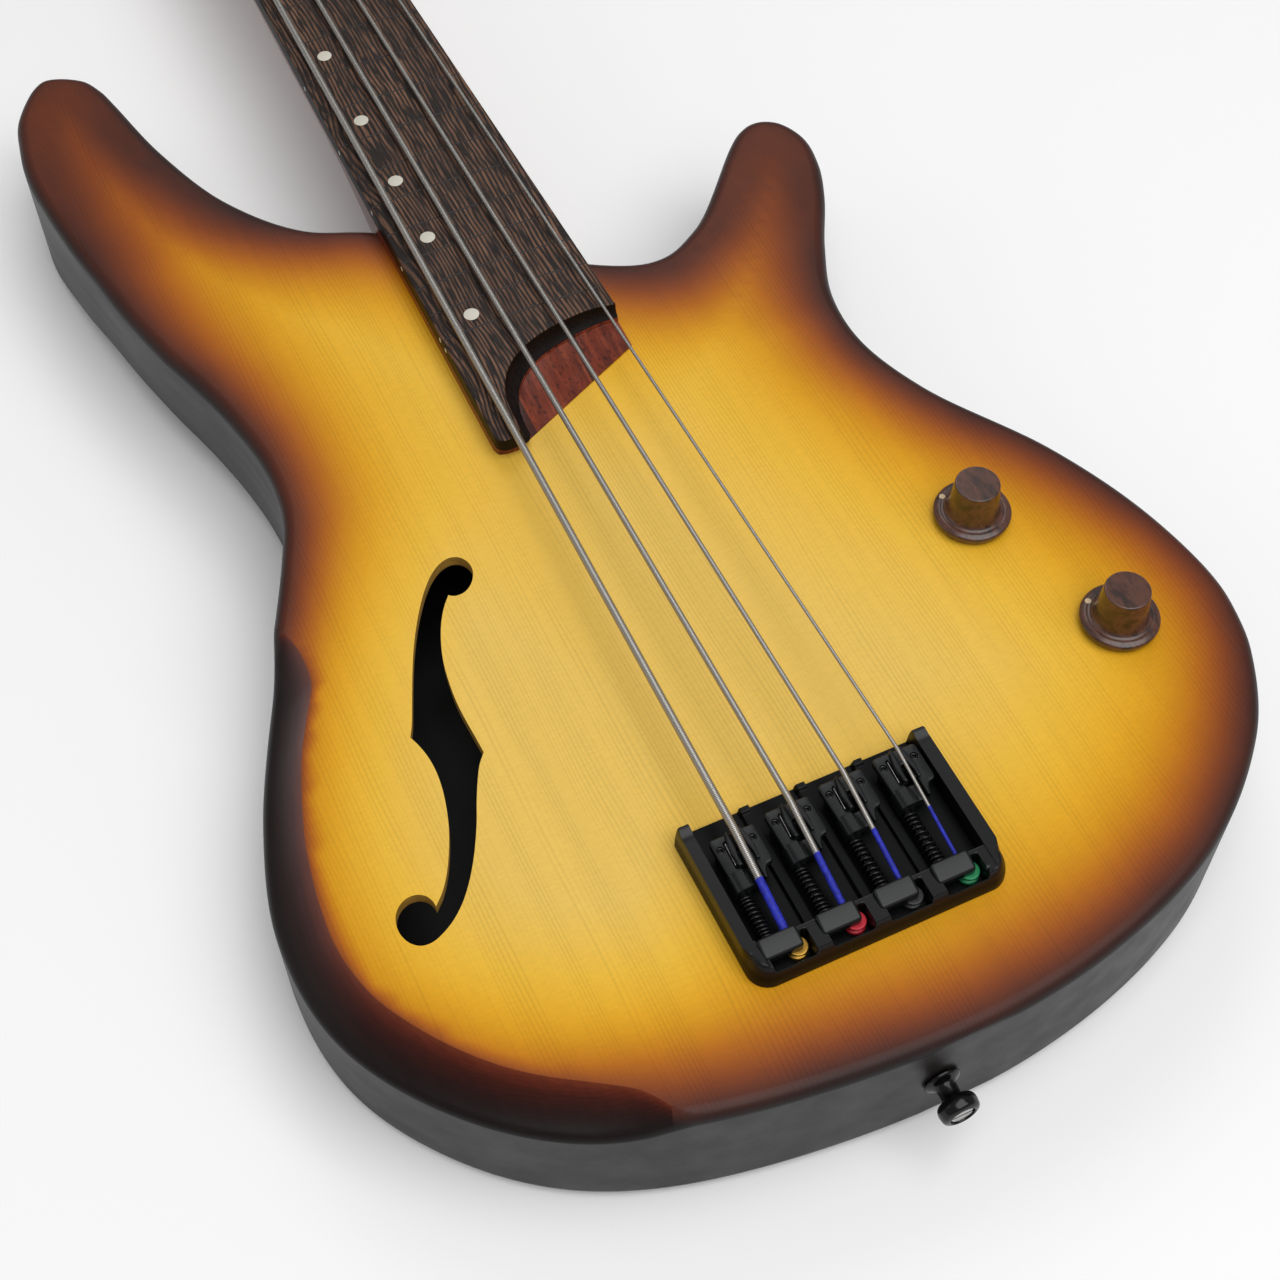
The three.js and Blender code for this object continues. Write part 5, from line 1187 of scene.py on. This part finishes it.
def string_route(order):
    """From the bridge's hole over the saddle and the nut to the post, with its bends rounded."""
    x, nut_x = SADDLE_X[order], NUT_X[order]
    saddle_z = crown_height(x) + LIFT_AT_SADDLE
    nut_z = crown_height(nut_x) + LIFT_AT_NUT + STRING_RADII[order]
    turns = from_head(winding_path(order))
    bent = rounded_profile([
        [x, -41.0, BRIDGE_FOOT + 6.2], [x, -38.0, BRIDGE_FOOT + 6.35],
        [x, WITNESS_Y[order], saddle_z], [nut_x, SCALE_LENGTH, nut_z], [nut_x, NUT_REAR, nut_z],
        turns[0]], 1.6, 6)
    return np.concatenate([bent[:-1], turns])


def make_string(order):
    """A round string: a tube along its route, with the distance along it kept for its winding."""
    route = string_route(order)
    steps = np.linalg.norm(np.diff(route, axis=0), axis=1)
    route = route[np.concatenate([[True], steps > 1e-6])]
    along = distances_along(route)
    along = np.unique(np.round(np.concatenate([along, np.arange(0, along[-1], 12.0)]), 4))
    route = at_distances(route, along)
    route = np.concatenate([
        route[:1] - [0, 0.01, 0], route, route[-1:] + (route[-1] - route[-2]) * 0.01])
    along = np.concatenate([along[:1], along, along[-1:]])
    radius = np.full(len(route), STRING_RADII[order])
    radius[[0, -1]] = 0
    head_up = [[0.0, math.sin(HEAD_TILT), math.cos(HEAD_TILT)]]
    up = np.where(route[:, 1:2] > NUT_REAR, head_up, [[0.0, 0.0, 1.0]])
    sides = 16
    along = np.repeat(along, sides)
    shell = Shell()
    shell.grid(tube_rows(route, radius, sides, up), values=np.stack([along, 0 * along], 1))
    name = STRING_NAMES[order]
    finish = string_finish(float(STRING_RADII[order]) * 0.42)
    piece = shell.piece(f"string_{name}_wire", [finish], 50, 0.0005, ("along",))
    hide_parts(f"string_{name}")
    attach(piece, "guitar")


def make_ball_end(order):
    """A spool: two rims and a waist, turned about an upright axis."""
    name = STRING_NAMES[order]
    colour, second = BALL_COLOURS[name]
    lacquer = metal_finish(f"ball end {name}", colour, second, 0.3, 0.9 if name == "e" else 0.2)
    profile = rounded_profile([
        [0.9, -1.8], [3.2, -1.8], [3.2, -1.0], [2.1, -0.5], [2.1, 0.5], [3.2, 1.0], [3.2, 1.8],
        [0.9, 1.8], [0.9, -1.8]], 0.35)
    shell = Shell()
    centre = (SADDLE_X[order] + 1.2, BALL_Y, BRIDGE_FOOT + 4.3)
    rows = turned(profile, 40, centre)
    shell.grid(np.concatenate([rows, rows[:1]]))
    piece = shell.piece(f"ball_end_{name}", [lacquer], 35)
    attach(piece, "guitar")


# ---- Bridge ----

def softened(node, name, finish, width, crease=32, segments=3):
    """A copy of a CAD node with its flat faces joined and its edges rounded by a bevel."""
    mesh = frame["nodes"][node].data.copy()
    mesh.name = name
    work = bmesh.new()
    work.from_mesh(mesh)
    bmesh.ops.remove_doubles(work, verts=work.verts, dist=0.002 * MM)
    bmesh.ops.dissolve_limit(
        work, angle_limit=math.radians(1.2), verts=work.verts, edges=work.edges)
    work.to_mesh(mesh)
    work.free()
    mesh.materials.clear()
    piece = finished(name, mesh, [finish], crease)
    bevel = piece.modifiers.new("Rounded edges", "BEVEL")
    bevel.width = width * MM
    bevel.segments = segments
    bevel.limit_method = "ANGLE"
    bevel.angle_limit = math.radians(crease)
    bevel.use_clamp_overlap = True
    bevel.harden_normals = True
    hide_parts(node)
    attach(piece, BODY_OF_NODE[node])


def make_spring(order):
    """A coil: the wire's centre goes round the screw while it moves along it, slower near both
    ends, so that the last turns lie closer. It stretches between the guitar and its saddle."""
    name = STRING_NAMES[order]
    low, high = in_mm(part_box(f"spring_{name}"))
    centre = (low + high) / 2
    wire = 0.36
    radius = (high[0] - low[0]) / 2 - wire
    turns, steps = 11, 28
    share = np.linspace(0, 1, turns * steps + 1)
    pace = share - 0.035 * np.sin(2 * np.pi * share)
    angle = 2 * np.pi * turns * share
    y = low[1] + wire + (high[1] - low[1] - 2 * wire) * pace
    radial = np.stack([np.cos(angle), np.zeros_like(angle), np.sin(angle)], 1)
    path = radial * radius + np.stack([0 * y + centre[0], y, 0 * y + centre[2]], 1)
    path = np.concatenate([path[:1] - (path[1] - path[0]) * 0.01, path,
                           path[-1:] + (path[-1] - path[-2]) * 0.01])
    radial = np.concatenate([radial[:1], radial, radial[-1:]])
    size = np.full(len(path), wire)
    size[[0, -1]] = 0
    shell = Shell()
    shell.grid(tube_rows(path, size, 10, radial))
    piece = shell.piece(f"spring_{name}_wire", [GLOSS_BLACK], 50, 0.0005)
    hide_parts(f"spring_{name}")
    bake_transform(piece)


def slab(shell, loop, low, high, edge, holes=(), hole_floor=None):
    """An upright slab: its wall is the outline between two heights, its upper edge a quarter
    circle, and its top is flat around its holes, whose walls run down to their own floor."""
    into = inward(loop)
    rows = [lift(loop + into * edge * (1 - math.cos(angle)), high - edge * (1 - math.sin(angle)))
            for angle in np.linspace(math.pi / 2, 0, 4)]
    rows.append(lift(loop, low))
    shell.grid(rows)
    shell.level(rows[0][:, :2], high, 1.6, 0, holes)
    shell.level(loop, low, 2.5)
    for hole in holes:
        shell.grid([lift(hole, high), lift(hole, hole_floor)])
        shell.level(hole, hole_floor, 1.5)


# Outlines of the saddle's parts, from the string's place over the witness point, and the reach of
# each corner's rounding; the plate's notch is as wide as its string
SADDLE_SLOT = rounded_loop(
    [[-4.5, -1.6], [-3.3, -0.8], [-2.7, -5.5], [-2.9, -11.0], [-4.6, -11.0]], 0.5)
SADDLE_SHELF = rounded_loop([[-3.2, -10.8], [1.5, -10.8], [1.5, -16.6], [-3.2, -16.6]], 0.7)
SADDLE_RIDGE = np.array([
    [-1.1, 0.9], [-0.95, -3.0], [-1.35, -6.2], [-1.75, -8.0], [-1.7, -10.7], [-2.9, -10.7],
    [-2.9, -8.4], [-3.3, -6.6], [-2.9, -3.0], [-2.0, 0.9]])
RIDGE_ROUNDING = [0.4, 1.4, 1, 0.8, 0.25, 0.25, 0.8, 1, 1.4, 0.6]
BARREL_SECTION = rounded_loop(
    [[-8.1, 3.6], [-3.0, 3.6], [-3.0, 10.3], [-6.6, 10.3], [-8.1, 8.4]], [0.5, 0.5, 0.35, 1.3, 1.3])


def saddle_plate(gap):
    """The plate's outline, with a notch of the given half width under the string."""
    return rounded_loop([
        [-7.9, 0.0], [-7.2, 0.9], [6.3, 0.9], [7.0, 0.2], [7.0, -12.6], [4.6, -12.8], [3.6, -14.2],
        [2.7, -17.0], [1.9, -16.6], [1.9, -10.2], [gap, -9.8], [gap, -4.5], [-gap, -4.5],
        [-gap, -10.2], [-3.0, -10.6], [-3.0, -12.6], [-7.6, -12.6]],
        [0.6, 0.6, 0.6, 0.6, 1.9, 1.2, 1.5, 0.5, 0.5, 0.3, 0.3, 0.4, 0.4, 0.3, 0.3, 0.4, 0.5])


def add_barrel(shell, x, witness):
    """The bored barrel for the long screw: a section, rounded on its outer side, carried along Y
    and drawn in at both ends."""
    section = BARREL_SECTION + [x, BRIDGE_FOOT]
    bore = circle(LONG_SCREW + [x, BRIDGE_FOOT], 1.56, 28)
    middle = section.mean(0)
    small = middle + (section - middle) * 0.94

    def standing(flat, y):
        """The section set upright at a distance behind the witness point."""
        return np.column_stack([flat[:, 0], np.full(len(flat), witness + y), flat[:, 1]])

    front, rear = -11.6, -18.05
    stations = ((front, small), (front - 0.2, section), (rear + 0.2, section), (rear, small))
    shell.grid([standing(ring, y) for y, ring in stations])
    points, triangles, _ = flat_region(small, [bore], 1.6)
    for y in (front, rear):
        shell.add(standing(points, y), triangles)
    shell.grid([standing(bore, y) for y in (front, rear)])


def make_saddle(order):
    """A saddle: a plate with a slot and two screw holes, two wavy ridges beside the string, a
    shelf, the barrel and two legs turned about upright axes."""
    name = STRING_NAMES[order]
    x, witness = SADDLE_X[order], WITNESS_Y[order]
    at = np.array([x, witness])
    wide = max(0.0, STRING_RADII[order] - 0.7)
    holes = [SADDLE_SLOT, *(circle((across, SADDLE_SCREWS_Y), 1.3, 28)
                            for across in SADDLE_SCREWS_X)]
    shell = Shell()
    slab(shell, saddle_plate(0.9 + wide) + at, BRIDGE_FOOT + 7.45, SADDLE_TOP, 0.4,
         [hole + at for hole in holes], SADDLE_TOP - 1.5)
    for side in (1, -1):
        ridge = rounded_loop((SADDLE_RIDGE - [wide, 0]) * [side, 1], RIDGE_ROUNDING)
        slab(shell, ridge + at, SADDLE_TOP - 0.3, SADDLE_TOP + 1.55, 0.3)
    slab(shell, SADDLE_SHELF + at, BRIDGE_FOOT + 4.6, SADDLE_TOP - 2.4, 0.3)
    add_barrel(shell, x, witness)
    leg = [[0, 2.6], [1.15, 2.6], [1.4, 3.0], [1.4, 7.4], [0, 7.4]]
    for across in SADDLE_SCREWS_X:
        shell.grid(turned(leg, 20, (x + across, witness + SADDLE_SCREWS_Y, BRIDGE_FOOT)))
    piece = shell.piece(f"saddle_{name}_plate", [BLACK], 35, 0.0005)
    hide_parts(f"saddle_{name}")
    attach(piece, BODY_OF_NODE[f"saddle_{name}"])


def make_saddle_details(order):
    """Three small screws with round sockets, and the bright wire in the saddle's slot."""
    name = STRING_NAMES[order]
    x, witness = SADDLE_X[order], WITNESS_Y[order]
    profile = rounded_profile([
        [0, -0.9], [0.6, -0.9], [0.64, 0.0], [0.95, 0.12], [1.2, -0.05], [1.22, -0.6]], 0.1)
    shell = Shell()
    for across, along, drop in (*((across, SADDLE_SCREWS_Y, 0.25) for across in SADDLE_SCREWS_X),
                                (-0.9, -14.0, 2.6)):
        shell.grid(turned(profile, 30, (x + across, witness + along, SADDLE_TOP - drop)))
    piece = shell.piece(f"grub_screws_{name}", [GLOSS_BLACK], 35)
    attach(piece, BODY_OF_NODE[f"saddle_{name}"])
    start = np.array([x - 3.55, witness - 1.2, SADDLE_TOP - 0.35])
    path = start + np.linspace(0, 1, 14)[:, None] * [-0.35, -8.6, -0.1]
    size = np.full(len(path), 0.2)
    size[[0, -1]] = 0
    shell = Shell()
    shell.grid(tube_rows(path, size, 10))
    piece = shell.piece(f"pin_{name}", [STEEL], 50, 0.0005)
    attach(piece, BODY_OF_NODE[f"saddle_{name}"])


def soft_step(distance, width):
    """Zero to one while a signed distance goes from minus half to plus half of a width."""
    t = np.clip(distance / width + 0.5, 0, 1)
    return t * t * (3 - 2 * t)


def near_edge(edge, reach, count):
    """Places spread closely around an edge."""
    return edge + np.linspace(-reach, reach, count)


def tray_plan():
    """Places over the tray, u across from its middle and v along: rows and columns lie closer at
    the edges of its parts, and each row is as wide as the rounded outline is there."""
    half = TRAY_HALF_WIDTH
    edges = [-42.1, RAIL_LEFT, RAIL_RIGHT, 42.1, *(RIBS - RIB_HALF_WIDTH), *(RIBS + RIB_HALF_WIDTH)]
    to_side = half - half * np.geomspace(1e-4, 0.12, 20)
    across = np.unique(np.concatenate([
        np.linspace(-half, half, 90), *(near_edge(edge, 0.9, 13) for edge in edges),
        *(near_edge(edge - TRAY_MIDDLE, 0.9, 9) for edge in POCKETS.ravel()), -to_side, to_side]))
    share = across[np.abs(across) <= half] / half
    y = np.unique(np.concatenate([
        np.linspace(TRAY_REAR, TRAY_FRONT, 60), TRAY_REAR + np.geomspace(0.01, 8, 34),
        TRAY_FRONT - np.geomspace(0.01, 3, 16),
        *(near_edge(edge, 0.9, 11) for edge in (WALL_FRONT, POCKET_FRONT, -46.6, 3.2))]))
    y = y[(y >= TRAY_REAR) & (y <= TRAY_FRONT)]
    radius = np.where(y < TRAY_TURN, REAR_CORNER, FRONT_CORNER)
    from_end = np.minimum(np.where(y < TRAY_TURN, y - TRAY_REAR, TRAY_FRONT - y), radius)
    width = half - radius + np.sqrt(np.maximum(radius ** 2 - (radius - from_end) ** 2, 0))
    u = share[None, :] * width[:, None]
    return u, np.broadcast_to(y[:, None], u.shape)


def tray_height(u, v):
    """Height of the tray over its plan: floor, rails with raised ears, ribs between the strings,
    and a rear wall with a pocket behind each string. Each part is a height times soft steps over
    the signed distances to its edges, and the greatest height counts; near the rounded outline a
    quarter ellipse limits it."""
    x = u + TRAY_MIDDLE
    corner = np.where(v < TRAY_TURN, REAR_CORNER, FRONT_CORNER)
    reach = np.stack([np.abs(u) - (TRAY_HALF_WIDTH - corner),
                      np.where(v < TRAY_TURN, TRAY_REAR - v, v - TRAY_FRONT) + corner])
    outside = np.where((reach > 0).all(0), np.hypot(*np.maximum(reach, 0)), reach.max(0))
    slope = 1.4 + 3.6 * soft_step(-40.0 - v, 5.0)
    limit = TRAY_HEIGHT * np.sqrt(1 - (1 - np.clip((corner - outside) / slope, 0, 1)) ** 2)

    ear = EAR_HEIGHT * np.exp(-((v - 4.0) / 1.6) ** 2)
    beside = np.maximum(soft_step(RAIL_LEFT - u, 0.8), soft_step(u - RAIL_RIGHT, 0.8))
    rail = (RAIL_HEIGHT + ear) * beside
    rib = np.max([soft_step(RIB_HALF_WIDTH - np.abs(x - place), 0.8) for place in RIBS], 0)
    rib = (RIB_HEIGHT + 0.8 * soft_step(v - 3.6, 1.2)) * rib
    wall = WALL_HEIGHT * soft_step(WALL_FRONT - v, 0.8)
    corners = RAIL_HEIGHT * soft_step(np.abs(u) - 36.6, 2.4) * soft_step(-36.4 - v, 2.4)
    pocket = np.max([soft_step(x - low, 0.9) * soft_step(high - x, 0.9)
                     for low, high in POCKETS], 0)
    pocket = pocket * soft_step(POCKET_FRONT - v, 0.9) * soft_step(v - POCKET_REAR, 1.6)
    height = np.minimum(np.max([np.full_like(u, TRAY_FLOOR), rail, rib, wall, corners], 0), limit)
    height = height + (2.4 - height) * pocket * (height > 2.4)
    return np.maximum(height, 0.0)


def make_tray():
    """The bridge's cast tray: its height over its plan, a wall round the rim, and a level foot."""
    u, v = tray_plan()
    upper = np.stack([u + TRAY_MIDDLE, v, BRIDGE_FOOT + tray_height(u, v)], 2)
    lower = upper.copy()
    lower[:, :, 2] = BRIDGE_FOOT
    shell = Shell()
    shell.grid(upper, wrap=False)
    shell.grid([np.concatenate([rows[0], rows[1:, -1], rows[-1, -2::-1], rows[-2:0:-1, 0]])
                for rows in (upper, lower)])
    shell.grid(lower[:, ::-1], wrap=False)
    piece = shell.piece("bridge_tray", [TRAY], 40, 0.0005)
    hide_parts("bridge_base")
    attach(piece, "guitar")


def make_string_block(order):
    """The block over a ball end: a rounded outline drawn in towards its top, which slants down
    to the rear by a power of the distance from its front."""
    shell = Shell()
    rear = BLOCK_FRONT - 6.5
    corners = [[-10.2, BLOCK_FRONT], [2.6, BLOCK_FRONT], [2.6, rear], [-10.2, rear]]
    loop = rounded_loop(corners, 1.1) + [SADDLE_X[order], 0]
    into = inward(loop)

    def slant(points):
        """How far the block's top lies under its front."""
        return 1.1 * np.clip((-38.6 - points[:, 1]) / 5.6, 0, 1) ** 1.3

    rows = []
    for out, down in ((1.6, 3.2), (0.5, 3.2), (0.0, 2.7), (0.0, 0.9), (0.07, 0.55), (0.26, 0.24),
                      (0.55, 0.06), (0.9, 0.0)):
        ring = loop + into * out
        rows.append(lift(ring, BRIDGE_FOOT + BLOCK_HEIGHT - down - slant(ring)))
    shell.grid(rows)
    for row in (rows[0], rows[-1]):
        points, triangles, _ = flat_region(row[:, :2], [], 1.6)
        shell.add(lift(points, row[:, 2].max() - slant(points)), triangles)
    piece = shell.piece(f"string_block_{STRING_NAMES[order]}", [BLACK], 32, 0.0005)
    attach(piece, "guitar")


# ---- Controls and fittings ----

KNOB_HOLE_ANGLE = math.radians(-35)
KNOB_DOT_ANGLE = math.radians(127)


def on_circle(radius, angle):
    """The place at an angle on a circle about the origin."""
    return radius * np.array([math.cos(angle), math.sin(angle)])


def make_knob(name):
    """A knob turned from rosewood: a skirt with a rounded lip, a hollow flare, and a stem that
    narrows upwards. The hole of its grub screw is pressed into the stem: a point nearer to the
    hole's middle than its radius moves towards the axis. A dot lies on the skirt."""
    low, high = in_mm(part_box(f"knob_{name}"))
    centre = (low + high)[:2] / 2
    skirt = (high[0] - low[0]) / 2
    base, top = low[2], high[2]
    profile = np.concatenate([
        rounded_profile([
            [0, base], [skirt - 0.7, base], [skirt - 0.3, base + 1.4], [skirt, base + 2.2],
            [skirt, base + 3.3], [skirt - 1.6, base + 4.0], [10.9, base + 4.0]], 0.8, 6),
        smooth_curve([
            [10.4, base + 3.95], [9.7, base + 4.2], [9.15, base + 4.9], [8.75, base + 6.2],
            [8.3, base + 9.0]], 8, False),
        rounded_profile([[8.25, base + 9.4], [7.45, top], [0, top]], 0.5, 6)])
    along = distances_along(profile)
    along = np.unique(np.concatenate([along, np.arange(0, along[-1], 0.35)]))
    rows = turned(at_distances(profile, along), 144)
    middle = np.array([*on_circle(8.0, KNOB_HOLE_ANGLE), base + 10.2])
    apart = np.linalg.norm(rows - middle, axis=2)
    on_stem = (rows[:, :, 2] > base + 6) & (rows[:, :, 2] < top - 1)
    pressed = np.where(on_stem, np.clip((1.6 - apart) / 0.3, 0, 1), 0)
    rows[:, :, :2] *= (1 - 0.22 * pressed)[:, :, None]
    tags = np.stack([pressed.ravel(), 0 * pressed.ravel()], 1)
    shell = Shell()
    shell.grid(rows + [*centre, 0], values=tags)
    piece = shell.piece(f"{name}_knob_wood", [ROSEWOOD], 50, 0.001, ("hole",))
    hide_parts(f"knob_{name}")
    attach(piece, BODY_OF_NODE[f"knob_{name}"])
    shell = Shell()
    place = centre + on_circle(11.0, KNOB_DOT_ANGLE)
    shell.grid(disc(1.05, base + 3.2, base + 4.1, 28) + [*place, 0])
    piece = shell.piece(f"{name}_knob_dot", [CREAM], 35)
    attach(piece, BODY_OF_NODE[f"knob_{name}"])


def make_strap_button(name):
    """Turned along Y: flange, waist and rounded head with a recessed screw."""
    low, high = in_mm(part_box(f"strap_button_{name}"))
    centre = (low + high) / 2
    outward, start = (-1, high[1]) if name == "tail" else (1, low[1])
    profile = rounded_profile([
        [2.4, 0.0], [6.0, 0.0], [6.0, 1.2], [3.3, 2.6], [3.1, 6.4], [6.0, 7.9], [6.5, 9.6],
        [6.1, 12.3], [4.6, 13.0], [4.0, 12.9], [3.9, 9.6], [2.4, 9.6], [2.4, 0.0]], 0.9, 5)
    rows = turned(profile, 56)[:, :, [0, 2, 1]] * [1, outward, 1] + [centre[0], start, centre[2]]
    shell = Shell()
    shell.grid(np.concatenate([rows, rows[:1]]))
    piece = shell.piece(f"{name}_strap_button", [GLOSS_BLACK], 40)
    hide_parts(f"strap_button_{name}")
    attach(piece, "guitar")


make_body()
make_fingerboard()
make_fret_lines()
make_board_dots()
for order, name in enumerate(STRING_NAMES):
    make_string(order)
    make_ball_end(order)
    make_spring(order)
    make_saddle_details(order)
    make_saddle(order)
    softened(f"intonation_screw_{name}", f"screw_{name}", GLOSS_BLACK, 0.15)
make_tray()
for order in range(4):
    make_string_block(order)
softened("neck", "neck_wood", NECK_WOOD, 0.5, crease=40, segments=2)
softened("nut", "nut_bone", BONE, 0.25)
softened("control_cover", "cover_plate", PLASTIC, 0.4)
softened("output_jack", "socket", BLACK, 0.4)
for name in ("volume", "tone"):
    make_knob(name)
for name in ("tail", "horn"):
    make_strap_button(name)
    softened(f"strap_screw_{name}", f"{name}_strap_screw", STEEL, 0.2)
for name in STRING_NAMES:
    for part, width in (("housing", 0.6), ("key", 0.6), ("post", 0.3), ("bushing", 0.3)):
        softened(f"tuner_{part}_{name}", f"tuner_{part}_{name}", BLACK, width)
for number in NECK_SCREWS:
    softened(f"neck_screw_{number}", f"neck_screw_{number}", BLACK, 0.3)

for node, finish in (
        ("truss_rod", STEEL), ("battery", PLASTIC), ("preamp_board", PLASTIC),
        ("pot_volume", STEEL), ("pot_tone", STEEL), ("pot_shaft_volume", STEEL),
        ("pot_shaft_tone", STEEL), ("pot_nut_volume", STEEL), ("pot_nut_tone", STEEL)):
    mesh = frame["nodes"][node].data
    mesh.materials.clear()
    mesh.materials.append(finish)


# ---- Studio ----

def make_floor():
    """A pale floor under the guitar, which the camera sees nearly white."""
    size = 30.0
    mesh = bpy.data.meshes.new("floor")
    corners = [(-size, -size, 0), (size, -size, 0), (size, size, 0), (-size, size, 0)]
    mesh.from_pydata(corners, [], [(0, 1, 2, 3)])
    made, tree, shader = material("pale floor")
    uneven = use(tree, UNEVEN, Size=40.0)
    seen = add(tree, "LightPath").outputs["Is Camera Ray"]
    pale = mix(tree, uneven["Rubbed"], linear(243, 244, 245), linear(240, 241, 243))
    fill(tree, shader.inputs, {
        "Base Color": mix(tree, seen, pale, linear(254, 254, 254)), "Roughness": 0.75})
    mesh.materials.append(made)
    floor = placed("floor", mesh)


def make_light():
    """An even white sky, which the camera sees brighter than the guitar does, and three soft
    lamps that all point at the body."""
    world = bpy.data.worlds.new("studio")
    world.use_nodes = True
    background = world.node_tree.nodes["Background"]
    seen = add(world.node_tree, "LightPath").outputs["Is Camera Ray"]
    fill(world.node_tree, background.inputs, {
        "Color": (1, 1, 1, 1),
        "Strength": calc(world.node_tree, "MULTIPLY_ADD", seen, 0.62, 0.3)})
    bpy.context.scene.world = world

    aim = Vector((0, 0.1, 0))
    for name, place, size, power in (
            ("key", (0.35, -0.8, 2.3), 2.5, 51.0), ("back", (0.42, 1.2, 1.5), 0.8, 3.6),
            ("left", (-1.6, 0.7, 0.8), 1.0, 1.8)):
        lamp = bpy.data.lights.new(name, "AREA")
        lamp.shape = "SQUARE"
        lamp.size = size
        lamp.energy = power
        holder = placed(name, lamp)
        holder.location = place
        holder.rotation_euler = (aim - Vector(place)).to_track_quat("-Z", "Y").to_euler()


def make_camera():
    """The photograph's place and direction, worked out from the guitar's own sizes in it."""
    focal_pixels, picture = 2086.0, 1280.0
    forward = Vector((0.2429, 0.5161, -0.8214)).normalized()
    right = Vector((0.9033, -0.4291, -0.0024)).normalized()
    camera = bpy.data.cameras.new("camera")
    camera.sensor_width = 36.0
    camera.lens = focal_pixels / picture * camera.sensor_width
    camera.clip_end = 60
    holder = placed("camera", camera)
    turn = Matrix((right, right.cross(forward), -forward)).transposed()
    holder.matrix_world = Matrix.LocRotScale(
        Vector((-182.8, -267.7, 602.9)) * MM, turn.to_quaternion(), None)
    bpy.context.scene.camera = holder


make_floor()
make_light()
make_camera()
bpy.context.scene.view_settings.view_transform = "Standard"
